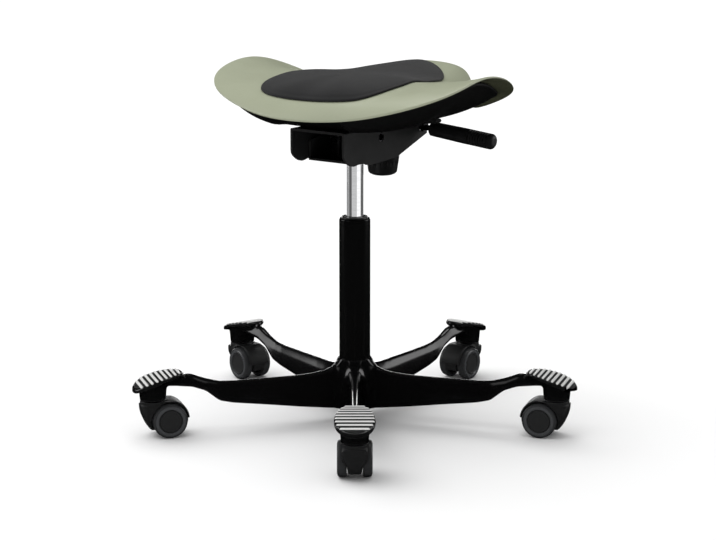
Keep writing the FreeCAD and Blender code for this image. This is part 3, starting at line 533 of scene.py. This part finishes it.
def arm_field(r, v, z):
    i = np.clip(r, 0, 335) / 0.5
    i0 = np.minimum(i.astype(int), len(AT) - 2)
    t = i - i0

    def read(a):
        return a[i0] * (1 - t) + a[i0 + 1] * t
    v = np.abs(v)
    f = z - read(Z1)
    for (nv, nz, d), k in zip(PLANES, (2.2, 5.0, 9.0, 5.0)):
        f = smax(f, v * read(nv) + z * read(nz) - read(d), k)
    f = smax(f, read(Z0) - z, 4.0)
    f = smax(f, r - 331.0, 3.0)
    return smax(f, -r, 2.0)


pad_ring = [(r, w) for r, w in PAD_OUTLINE] + [(367.0, 0.0)] + [(r, -w) for r, w in reversed(PAD_OUTLINE)]
PAD_CURVE = closed_curve(pad_ring)
PAD_DIST = table_of(PAD_CURVE, 270.0, 388.0, -48.0, 48.0)
pr, pz = [p[0] for p in PAD_TOP], [p[1] for p in PAD_TOP]
PR = np.arange(270.0, 390.0, 0.5)
_pz = np.interp(PR, pr, pz)
_pz = np.where(PR > 370.0, 77.4 - (PR - 370.0) * 0.66, _pz)
_k = np.exp(-(np.arange(-10, 11) * 0.5 / 2.5) ** 2 / 2)
_k /= _k.sum()
PZ = np.convolve(np.pad(_pz, 10, mode="edge"), _k, mode="valid")
PS = np.gradient(PZ, 0.5)


def pad_top(r):
    return np.interp(r, PR, PZ)


def pad_slope(r):
    return np.interp(r, PR, PS)


HUB = [(0.0, 22.0), (29.5, 22.0), (34.0, 25.0), (36.2, 33.0), (36.6, 48.0), (35.6, 62.0), (33.6, 74.0), (31.0, 84.0), (28.8, 92.0), (27.4, 98.0), (26.9, 102.0), (0.0, 102.0)]
HUB_DIST = table_of(HUB + [(-20.0, 102.0), (-20.0, 22.0)], 0.0, 70.0, 8.0, 120.0)


def base_field(p):
    x, y, z = p[:, 0], p[:, 1], p[:, 2]
    rho = np.hypot(x, y)
    # the star repeats every fifth of a turn
    a = np.mod(np.arctan2(y, x) - math.radians(ARM_AZIMUTHS[0]) + math.pi / 5, 2 * math.pi / 5) - math.pi / 5
    r, v = rho * np.cos(a), rho * np.sin(a)
    f = arm_field(r, v, z)
    # foot rest
    top, slope = pad_top(r), pad_slope(r)
    c = 1.0 / np.sqrt(1 + slope * slope)
    out = PAD_DIST(r, v)
    half = PAD_THICK / 2
    thin = np.clip((out + 14.0) / 14.0, 0.0, 1.0) * 1.6
    up = (z - top) * c
    slab = rmax(out, np.maximum(up, -(up + PAD_THICK - thin)), 1.5)
    rb = np.hypot(r - CASTOR_R, v)
    boss = smax(rb - (20.5 + 2.5 * (z - 60.05) / 30.0), 60.05 - z, 1.2)
    boss = smax(boss, up + 3.0, 2.0)
    g = smin(smin(f, slab, 9.0), boss, 5.0)
    far = r > 288.0
    f = np.where(far, np.maximum(g, up), g)
    # the neighbouring arm and the hub
    near = rho < 130.0
    if near.any():
        b = 2 * math.pi / 5 - np.abs(a[near])
        rn, vn, zn = rho[near] * np.cos(b), rho[near] * np.sin(b), z[near]
        f2 = np.where(rn > 0, arm_field(np.maximum(rn, 0.0), vn, zn), 30.0)
        fn = smin(f[near], f2, 9.0)
        hub = HUB_DIST(rho[near], zn)
        fn = smin(fn, hub, 9.0)
        fn = smax(fn, zn - 102.2, 1.0)
        bore = np.maximum(rho[near] - 25.06, 26.0 - zn)
        hole = rho[near] - 17.0
        fn = np.maximum(fn, -np.minimum(bore, hole))
        f = f.copy()
        f[near] = fn
    return f


H_BASE = 1.5
bv, bf, bn = nets(base_field, (-345.0, -372.0, 15.0), (345.0, 312.0, 108.0), H_BASE)
base = mesh_piece("base_casting", bv, bf, "base", normals=bn)
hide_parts("base_star")
paint(base, "base_black")

# foot rest ribs and the mats they stand on
RIB_PITCH, RIB_WIDTH, RIB_FIRST, RIB_COUNT = 7.7, 4.9, 294.8, 9


def on_pad(r, v, lift):
    s = pad_slope(r)
    c = 1.0 / np.sqrt(1 + s * s)
    return np.stack([r - s * c * lift, v, pad_top(r) + c * lift], -1)


def half_width(r, inset):
    """Half width of the foot rest's outline moved inwards."""
    vs = np.linspace(0, 40, 161)
    d = PAD_DIST(np.full_like(vs, r), vs) + inset
    bad = np.nonzero(d > 0)[0]
    return 0.0 if len(bad) == 0 or bad[0] == 0 else float(vs[bad[0]])


rib_v, rib_f, rib_painted_shade_index = [], [], []
for k in range(RIB_COUNT):
    rc = RIB_FIRST + k * RIB_PITCH
    w = min(half_width(rc - RIB_WIDTH * 0.4, 0.3), half_width(rc + RIB_WIDTH * 0.4, 0.3))
    if w < 5.0:
        continue
    nu, nv = 40, 10
    sec = []
    for j in range(nv + 1):
        t = math.pi * j / nv
        sec.append((-math.cos(t) * RIB_WIDTH / 2, max(0.0, math.sin(t)) ** 0.7 * 2.3))
    start = len(rib_v)
    for i in range(nu + 1):
        u = -1 + 2 * i / nu
        # bars with rounded ends
        vv = u * w
        end = min(1.0, (w - abs(vv)) / (RIB_WIDTH * 0.55))
        end = math.sqrt(max(0.0, 1 - (1 - end) ** 2))
        for dx, dz in sec:
            q = on_pad(np.array(rc + dx * max(end, 0.02)), np.array(vv), -0.45 - 1.6 * (1 - end) ** 2 + dz * max(end, 0.02))
            rib_v.append((float(q[0]), float(q[1]), float(q[2])))
    m = nv + 1
    for i in range(nu):
        for j in range(nv):
            a = start + i * m + j
            rib_f.append((a, a + m, a + m + 1, a + 1))
            # painted shade: the lower flanks of each rib take the black mat material so the grooves between ribs read
            # dark; only the crown keeps the grey
            rib_painted_shade_index.append(1 if j < 2 or j >= nv - 2 else 0)
        rib_f.append((start + i * m, start + i * m + nv, start + (i + 1) * m + nv, start + (i + 1) * m))
        rib_painted_shade_index.append(1)
    rib_f.append([start + j for j in range(m)])
    rib_f.append([start + nu * m + j for j in reversed(range(m))])
    rib_painted_shade_index += [1, 1]
inset = closed_curve(pad_ring, 6)
cen = np.array([330.0, 0.0])
mat_outline = np.array([cen + (p - cen) * (1 - 3.0 / np.linalg.norm(p - cen)) for p in inset])
mat_v, mat_f = [], []
rings = [(1.0, -0.4), (1.0, 0.10), (0.985, 0.32), (0.96, 0.40)] + [(s, 0.40) for s in (0.85, 0.7, 0.55, 0.4, 0.25, 0.1)]
for s, lift in rings:
    for p in mat_outline:
        q = cen + (p - cen) * s
        w3 = on_pad(np.array(q[0]), np.array(q[1]), lift)
        mat_v.append((float(w3[0]), float(w3[1]), float(w3[2])))
m = len(mat_outline)
for i in range(len(rings) - 1):
    for j in range(m):
        a, b = i * m + j, i * m + (j + 1) % m
        mat_f.append((a, b, b + m, a + m))
mat_f.append([(len(rings) - 1) * m + j for j in range(m)])
for n, az in enumerate(ARM_AZIMUTHS, 1):
    mt = place_azimuth(az)
    ribs = mesh_piece("foot_ribs_%d" % n, turn(rib_v, mt), rib_f, "base")
    sharpen(ribs, 60)
    paint(ribs, "foot_grey", "foot_mat")
    ribs.data.polygons.foreach_set("material_index", np.array(rib_painted_shade_index, np.int32))
    mat = mesh_piece("foot_mat_%d" % n, turn(mat_v, mt), mat_f, "base")
    sharpen(mat, 50)
    paint(mat, "foot_mat")
    if n == 1:
        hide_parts("foot_inlays")

# ------------------------------------------------------------------ castors
TRAIL, WHEEL_R, WHEEL_IN, WHEEL_OUT, FENDER_R = 23.0, 27.75, 11.7, 26.5, 32.4
FRONT = [(19.8, 52.0), (19.6, 46.0), (19.0, 41.0), (17.6, 34.5), (15.4, 28.5), (13.0, 22.8), (10.2, 17.8), (7.2, 13.8), (4.0, 11.0), (-6.0, 11.0), (-26.0, 20.0), (-26.0, 52.0)]
FRONT_DIST = table_of(FRONT, -60.0, 40.0, 0.0, 70.0)


def hood_field(p):
    x, y, z = p[:, 0], p[:, 1], p[:, 2]
    ay = np.abs(y)
    neck = smax(np.hypot(x, y) - 20.5, np.maximum(z - 59.15, 44.0 - z), 1.2)
    # the front narrows downwards, between the wheels
    t = np.clip((z - 16.0) / 28.0, 0.0, 1.0)
    body = smax(FRONT_DIST(x, z), (ay - 10.8 - 8.4 * t * t * (3 - 2 * t)) * 0.93, 5.0)
    f = smin(neck, body, 3.0)
    R = np.hypot(x + TRAIL, z - WHEEL_R)
    fender = np.maximum(R - FENDER_R, 28.75 - R)
    fender = rmax(fender, ay - 19.5, 3.0)
    fender = smax(fender, np.maximum(30.0 - z, x - 12.0), 1.2)
    fender = smax(fender, z - 59.0, 1.0)
    f = smin(f, fender, 3.0)
    web = smax(smax(R - (FENDER_R - 1.0), ay - 11.0, 1.5), np.maximum(18.0 - z, x - 6.0), 2.0)
    f = smin(f, web, 2.0)
    cut = np.maximum(R - 28.75, 11.0 - ay)
    f = rmax(f, -cut, 0.8)
    return smax(f, z - 59.15, 0.8)


hv, hf, hn = nets(hood_field, (-58.0, -26.0, 8.0), (24.0, 26.0, 61.0), 0.8)


def wheel_profile():
    p = [(0.0, WHEEL_OUT - 2.0), (15.6, WHEEL_OUT - 2.0), (16.8, WHEEL_OUT - 1.2), (17.6, WHEEL_OUT - 2.6), (18.9, WHEEL_OUT - 2.6), (19.7, WHEEL_OUT - 0.5), (22.6, WHEEL_OUT),
         (24.36, WHEEL_OUT - 0.9), (24.36, WHEEL_IN + 0.8), (21.5, WHEEL_IN + 0.8), (21.5, WHEEL_IN + 8.0), (8.5, WHEEL_IN + 8.0), (8.5, WHEEL_IN), (4.06, WHEEL_IN), (4.06, WHEEL_IN + 10.9), (0.0, WHEEL_IN + 10.9)]
    return smooth_corners(p, [0, 0.8, 0.6, 0.4, 0.4, 0.6, 1.6, 0.6, 0.5, 0.5, 1.0, 1.0, 0.4, 0, 0, 0], 4)


def tyre_profile():
    p = [(24.42, WHEEL_IN + 0.4), (26.6, WHEEL_IN + 0.4), (WHEEL_R, WHEEL_IN + 1.6), (WHEEL_R, WHEEL_OUT - 4.6), (27.0, WHEEL_OUT - 2.2), (25.6, WHEEL_OUT - 0.85), (24.42, WHEEL_OUT - 0.9)]
    return smooth_corners(p, [0.2, 0.8, 1.2, 3.0, 2.0, 0.8, 0.2], 5, closed=True)


to_y = Matrix.Translation((-TRAIL, 0, WHEEL_R)) @ Matrix.Rotation(math.radians(-90), 4, "X")
flip = Matrix.Scale(-1, 4, (0, 1, 0))
dv, df = lathe(wheel_profile(), 96)
tv, tf = lathe(tyre_profile(), 128, closed=True)
for n, az in enumerate(ARM_AZIMUTHS, 1):
    mt = place_azimuth(az, CASTOR_R)
    hood = mesh_piece("castor_hood_%d" % n, turn(hv, mt), hf, "castor_%d" % n, normals=turn(hn, place_azimuth(az)))
    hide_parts("castor_%d_hood" % n)
    paint(hood, "castor_black")
    for side in "ab":
        m2 = mt @ (flip if side == "b" else Matrix.Identity(4)) @ to_y
        fl = (lambda fs: [tuple(reversed(q)) for q in fs]) if side == "a" else (lambda fs: fs)
        disc = mesh_piece("castor_disc_%d_%s" % (n, side), turn(dv, m2), fl(df), "castor_%d_wheel_%s" % (n, side))
        sharpen(disc, 45)
        paint(disc, "castor_disc", "castor_ring")
        lv = np.array([q.center for q in disc.data.polygons])
        back = np.linalg.inv(np.array(m2))
        loc = turn(lv / MM, back)
        # faces of the outer ring, which take the lighter ring material, partly painted highlight
        ring_highlight_faces = (np.hypot(loc[:, 0], loc[:, 1]) > 19.0) & (loc[:, 2] > WHEEL_OUT - 4.0)
        disc.data.polygons.foreach_set("material_index", ring_highlight_faces.astype(np.int32))
        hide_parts("castor_%d_wheel_%s" % (n, side))
        tyre = mesh_piece("castor_tyre_%d_%s" % (n, side), turn(tv, m2), fl(tf), "castor_%d_wheel_%s" % (n, side))
        sharpen(tyre, 45)
        paint(tyre, "castor_tyre")
        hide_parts("castor_%d_tyre_%s" % (n, side))

# ------------------------------------------------------------------ seat surface
SEAT_ANGLES = [0, 12, 25, 38, 50, 62, 75, 90, 105, 120, 140, 160, 180]
RIM_R = [234, 244, 222, 208, 244, 249, 240, 235, 238, 223, 188, 174, 172]
RIM_Z = [559, 550, 515, 499.5, 526, 552, 569, 571.5, 557.5, 538, 517, 508.5, 507.5]
MID_Z = [561, 558, 552, 547, 544.5, 547, 554, 559, 556, 551, 547.5, 547.5, 545]
MID_AT, SEAT_Z0, ROLL_POWER, SHELL_T = 0.62, 553.0, 8, 5.0
PAD_ANGLES = [0, 8, 18, 28, 38, 50, 70, 90, 105, 118, 128, 138, 150, 165, 180]
PAD_R = [186, 183, 173, 160, 142, 124, 111, 112, 121, 131, 142, 150, 150, 146, 142]
UNDER_AT = [0.86, 0.86, 0.87, 0.89, 0.90, 0.905, 0.925, 0.94, 0.94, 0.94, 0.95, 0.95, 0.95]
UNDER_POWER = [2.6, 3.0, 4.2, 4.6, 3.5, 3.2, 3.3, 3.4, 4.0, 5.0, 7.0, 8.0, 8.0]
UNDER_Z = 484.0


def clamped(xs, ys):
    """Cubic through the points with level ends."""
    xs, ys = np.array(xs, float), np.array(ys, float)
    n, h = len(xs), np.diff(xs)
    A, d = np.zeros((n, n)), np.zeros(n)
    A[0, 0], A[0, 1], d[0] = 2 * h[0], h[0], 6 * (ys[1] - ys[0]) / h[0]
    A[-1, -1], A[-1, -2], d[-1] = 2 * h[-1], h[-1], -6 * (ys[-1] - ys[-2]) / h[-1]
    for i in range(1, n - 1):
        A[i, i - 1], A[i, i], A[i, i + 1] = h[i - 1], 2 * (h[i - 1] + h[i]), h[i]
        d[i] = 6 * ((ys[i + 1] - ys[i]) / h[i] - (ys[i] - ys[i - 1]) / h[i - 1])
    m = np.linalg.solve(A, d)

    def value(x):
        x = np.clip(x, xs[0], xs[-1])
        i = np.clip(np.searchsorted(xs, x, side="right") - 1, 0, n - 2)
        t0, t1 = xs[i + 1] - x, x - xs[i]
        return ((m[i] * t0 ** 3 + m[i + 1] * t1 ** 3) / (6 * h[i]) + (ys[i] / h[i] - m[i] * h[i] / 6) * t0 + (ys[i + 1] / h[i] - m[i + 1] * h[i] / 6) * t1)
    return value


rim_r, rim_z, mid_z = clamped(SEAT_ANGLES, RIM_R), clamped(SEAT_ANGLES, RIM_Z), clamped(SEAT_ANGLES, MID_Z)
pad_r, under_at, under_power = clamped(PAD_ANGLES, PAD_R), clamped(SEAT_ANGLES, UNDER_AT), clamped(SEAT_ANGLES, UNDER_POWER)


def seat_along(th, rho):
    a, b = mid_z(th) - SEAT_Z0, rim_z(th) - SEAT_Z0
    pn = MID_AT ** ROLL_POWER
    ca = (a - b * pn) / (MID_AT ** 2 - pn)
    cb = b - ca
    inner = SEAT_Z0 + ca * rho ** 2 + cb * rho ** ROLL_POWER
    outer = SEAT_Z0 + b + (2 * ca + ROLL_POWER * cb) * (rho - 1.0)
    return np.where(rho <= 1.0, inner, outer)


def seat_top(x, y):
    th = np.degrees(np.arctan2(np.abs(x), -y))
    return seat_along(th, np.hypot(x, y) / rim_r(th))


def seat_normal(x, y):
    e = 0.4
    gx = (seat_top(x + e, y) - seat_top(x - e, y)) / (2 * e)
    gy = (seat_top(x, y + e) - seat_top(x, y - e)) / (2 * e)
    n = np.stack([-gx, -gy, np.ones_like(gx)], -1)
    return n / np.linalg.norm(n, axis=-1)[..., None]


def under_bottom(x, y):
    th = np.degrees(np.arctan2(np.abs(x), -y))
    r = np.hypot(x, y)
    ru = under_at(th)
    edge = seat_along(th, ru) - SHELL_T - 0.3 - 3.0
    s = r / rim_r(th) / ru
    m = under_power(th)
    rise = np.where(s <= 1.0, np.minimum(s, 1.0) ** m, 1.0 + m * (s - 1.0))
    # the recess behind the carrier channel
    side = np.clip((75.0 - np.abs(x)) / 12.0, 0.0, 1.0)
    low = UNDER_Z + (edge - UNDER_Z) * rise + 1.15 * np.maximum(y - 81.0, 0.0) * side * side * (3 - 2 * side)
    lim = seat_top(x, y) - SHELL_T - 0.3 - 3.0
    k = 2.2
    a = np.minimum(low, lim)
    return a - k * np.log(np.exp(-(low - a) / k) + np.exp(-(lim - a) / k))


NA = 240
PHI = np.linspace(0, 2 * math.pi, NA, endpoint=False)
TH = np.degrees(np.arccos(np.clip(np.cos(PHI), -1, 1)))
RR = rim_r(TH)


def ring(rho):
    r = RR * rho
    return r * np.sin(PHI), -r * np.cos(PHI)


def rings_to_mesh(rings, cap_first=True, cap_last=True):
    v = np.concatenate(rings)
    n = len(rings[0])
    f = []
    for i in range(len(rings) - 1):
        a = i * n + np.arange(n)
        b = i * n + (np.arange(n) + 1) % n
        f.append(np.stack([a, b, b + n, a + n], 1))
    f = np.concatenate(f).tolist()
    if cap_first:
        c = len(v)
        v = np.concatenate([v, rings[0].mean(0)[None]])
        f += [(c, (k + 1) % n, k) for k in range(n)]
    if cap_last:
        c = len(v)
        off = (len(rings) - 1) * n
        v = np.concatenate([v, rings[-1].mean(0)[None]])
        f += [(c, off + k, off + (k + 1) % n) for k in range(n)]
    return v, f


# seat shell: upper face, rounded rim, lower face
T_RIM = 4.8
rings_list = []
rho_top = np.concatenate([np.linspace(0.02, 0.86, 44), np.linspace(0.88, 0.985, 12)])
for rho in rho_top:
    x, y = ring(rho)
    rings_list.append(np.stack([x, y, seat_top(x, y)], -1))
x, y = ring(0.985)
top = np.stack([x, y, seat_top(x, y)], -1)
n3 = seat_normal(x, y)
rad = np.stack([np.sin(PHI), -np.cos(PHI), np.zeros(NA)], -1)
# direction out of the rim, in the surface and square to the rim line
tang = np.roll(top, -1, 0) - np.roll(top, 1, 0)
tang /= np.linalg.norm(tang, axis=1)[:, None]
outd = np.cross(tang, n3)
outd *= np.sign((outd * rad).sum(1))[:, None]
outd /= np.linalg.norm(outd, axis=1)[:, None]
cen_line = top - n3 * T_RIM / 2
for k in range(1, 12):
    a = math.pi / 2 - math.pi * k / 12
    rings_list.append(cen_line + T_RIM / 2 * (outd * math.cos(a) * 1.15 + n3 * math.sin(a)))
for rho in rho_top[::-1]:
    x, y = ring(rho)
    p = np.stack([x, y, seat_top(x, y)], -1)
    w = np.clip((rho - 0.84) / 0.12, 0, 1)
    w = w * w * (3 - 2 * w)
    down = np.array([0, 0, -SHELL_T])
    rings_list.append(p * 1.0 + (1 - w) * down - w * seat_normal(x, y) * T_RIM)
sv, sf = rings_to_mesh(rings_list)
shell = mesh_piece("seat_shell_moulding", sv, sf, "seat")
paint(shell, "seat_green", "painted_shade_underside")
# the underside, from just below the middle of the rounded rim inwards, gets painted shade: a darker olive of the same
# plastic
count = len(shell.data.polygons)
painted_shade_faces = np.zeros(count, np.int32)
painted_shade_faces[(len(rho_top) + 6) * NA:(len(rings_list) - 1) * NA] = 1
painted_shade_faces[-NA:] = 1
shell.data.polygons.foreach_set("material_index", painted_shade_faces)
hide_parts("seat_shell")

# under shell: outer face, rounded edge, upper face hidden by the seat shell
rings_list = []
uat = under_at(TH)
us = np.concatenate([np.linspace(0.03, 0.9, 40), np.linspace(0.91, 0.985, 10)])
for s in us:
    x, y = ring(uat * s)
    rings_list.append(np.stack([x, y, under_bottom(x, y)], -1))
x, y = ring(uat * 0.985)
zb = under_bottom(x, y)
zt = seat_top(x, y) - SHELL_T - 0.3
gap = np.maximum(zt - zb, 0.6)
grow = 0.012 * RR * uat
ux, uy = np.sin(PHI), -np.cos(PHI)
for k in range(1, 7):
    a = -math.pi / 2 + math.pi * k / 7
    rings_list.append(np.stack([x + ux * grow * math.cos(a) * 0.9, y + uy * grow * math.cos(a) * 0.9, zb + gap * (0.5 + 0.5 * math.sin(a))], -1))
for s in us[::-1]:
    x, y = ring(uat * s)
    rings_list.append(np.stack([x, y, seat_top(x, y) - SHELL_T - 0.3], -1))
uv_, uf_ = rings_to_mesh(rings_list)
uf_ = [tuple(reversed(q)) for q in uf_]
under = mesh_piece("under_shell_moulding", uv_, uf_, "seat")
paint(under, "under_black")
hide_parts("under_shell")

# pad: crowned top and turned-under edge
PADR = pad_r(TH)


def pad_ring_at(s, lift):
    r = PADR * s
    x, y = r * np.sin(PHI), -r * np.cos(PHI)
    return np.stack([x, y, seat_top(x, y) + lift], -1)


def crown(s):
    return 2.3 + 8.4 * (1 - s ** 3.4)


rings_list = [pad_ring_at(s, 0.35) for s in (0.5, 0.75, 0.9, 0.965, 0.982)]
for s, l in ((0.990, 0.55), (0.997, 1.05), (1.0, 1.75), (0.9985, 2.6), (0.994, 3.35), (0.986, 3.95)):
    rings_list.append(pad_ring_at(s, l))
for s in np.concatenate([np.linspace(0.975, 0.9, 8), np.linspace(0.88, 0.04, 36)]):
    blend = min(1.0, (0.986 - s) / 0.06)
    base_l = 3.95 + (crown(s) + 1.2 - 3.95) * blend
    rings_list.append(pad_ring_at(s, base_l))
pv, pf = rings_to_mesh(rings_list)
pf = [tuple(reversed(q)) for q in pf]
pad = mesh_piece("seat_pad_cushion", pv, pf, "seat")
paint(pad, "pad_charcoal")
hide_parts("seat_pad")

# ------------------------------------------------------------------ stage, lights, camera
def area(name, loc, target, size, power, colour=(1, 1, 1), spread=180.0):
    l = bpy.data.lights.new(name, "AREA")
    l.shape = "RECTANGLE"
    l.size, l.size_y = size
    l.energy = power
    l.color = colour
    l.spread = math.radians(spread)
    o = bpy.data.objects.new(name, l)
    scene.collection.objects.link(o)
    o.location = loc
    o.rotation_euler = (Vector(target) - Vector(loc)).to_track_quat("-Z", "Y").to_euler()
    return o


CAM = Vector((-1.95199, 2.68519, 0.96723))
view_dir = Vector((CAM.x, CAM.y, 0)).normalized()          # from the stool towards the camera
right = Vector((-view_dir.y, view_dir.x, 0))                # to the right in the picture


def at(side, towards, up):
    return right * side + view_dir * towards + Vector((0, 0, up))


def build_stage():
    me = bpy.data.meshes.new("floor")
    S = 30.0
    me.from_pydata([(-S, -S, 0), (S, -S, 0), (S, S, 0), (-S, S, 0)], [], [(0, 1, 2, 3)])
    o = bpy.data.objects.new("floor", me)
    scene.collection.objects.link(o)
    m = Mat("pale_floor", (0.86, 0.86, 0.86), 0.65, specular=0.0)
    m.colour(m.ramp(m.noise(1.2, 3.0), [(0.3, (0.855, 0.855, 0.858)), (0.7, (0.872, 0.872, 0.87))]))
    o.data.materials.append(m.m)
    o.visible_glossy = False
    return o


floor = build_stage()
world = bpy.data.worlds.new("studio")
scene.world = world
world.use_nodes = True
world.node_tree.nodes["Background"].inputs["Color"].default_value = (1, 1, 1, 1)
world.node_tree.nodes["Background"].inputs["Strength"].default_value = 0.66
world.cycles_visibility.glossy = False

# the key: a broad soft light from above, a little behind and to the left
sun = bpy.data.lights.new("key", "SUN")
sun.energy, sun.angle = 2.2, math.radians(75)
so = bpy.data.objects.new("key", sun)
scene.collection.objects.link(so)
so.rotation_euler = at(-0.42, -0.30, 1.0).to_track_quat("Z", "Y").to_euler()
so.visible_glossy = False

# soft boxes that only show as reflections
def softbox(name, loc, target, size, radiance, only=None):
    o = area(name, loc, target, size, radiance * size[0] * size[1] * math.pi)
    o.visible_diffuse = False
    o.visible_camera = False
    if only is not None:
        o.light_linking.receiver_collection = only
    return o


softbox("box_top", at(0.25, -0.5, 2.2), (0, 0, 0.4), (1.3, 1.0), 3.4)
softbox("box_left", at(-2.0, -0.35, 0.75), (0, 0, 0.25), (0.8, 1.4), 2.2)
softbox("box_right", at(2.0, -0.45, 0.75), (0, 0, 0.25), (0.9, 1.4), 2.1)
softbox("box_low_left", at(-1.7, 1.5, 1.15), (0, 0, 0.1), (0.5, 0.7), 0.75)
softbox("box_low_right", at(1.8, 1.3, 1.15), (0, 0, 0.1), (0.4, 0.7), 0.6)
softbox("box_back", at(0.0, -2.6, 0.24), (0, 0, 0.12), (3.2, 0.46), 5.0)
bright = bpy.data.collections.new("bright_metal")
for n in ("lift_cylinder",):
    bright.objects.link(frame["nodes"][n])
# a ring of soft panels round the chromed cylinder: bearing from the camera, width of the bearing, brightness
for k, (bearing, width, tone) in enumerate([(-148.0, 60.0, 0.95), (-90.0, 34.0, 0.36), (-58.0, 16.0, 0.15), (-8.0, 68.0, 0.62), (56.0, 58.0, 1.15), (110.0, 40.0, 0.13), (160.0, 44.0, 0.4)]):
    b = math.radians(bearing)
    wide = 2 * 2.2 * math.tan(math.radians(width) / 2)
    softbox("metal_%d" % k, at(2.2 * math.sin(b), 2.2 * math.cos(b), 0.4), (0, 0, 0.4), (wide, 3.0), tone, bright)

cam = bpy.data.cameras.new("camera")
cam.lens, cam.sensor_width, cam.sensor_fit = 106.26, 36.0, "HORIZONTAL"
cam.clip_start, cam.clip_end = 0.05, 100.0
co = bpy.data.objects.new("camera", cam)
scene.collection.objects.link(co)
co.location = CAM
co.rotation_euler = (math.pi / 2 - 0.21396, 0.0, -2.514574)
scene.camera = co
scene.view_settings.view_transform = "Standard"
scene.view_settings.look = "None"
scene.view_settings.exposure = 0.0
scene.view_settings.gamma = 1.0
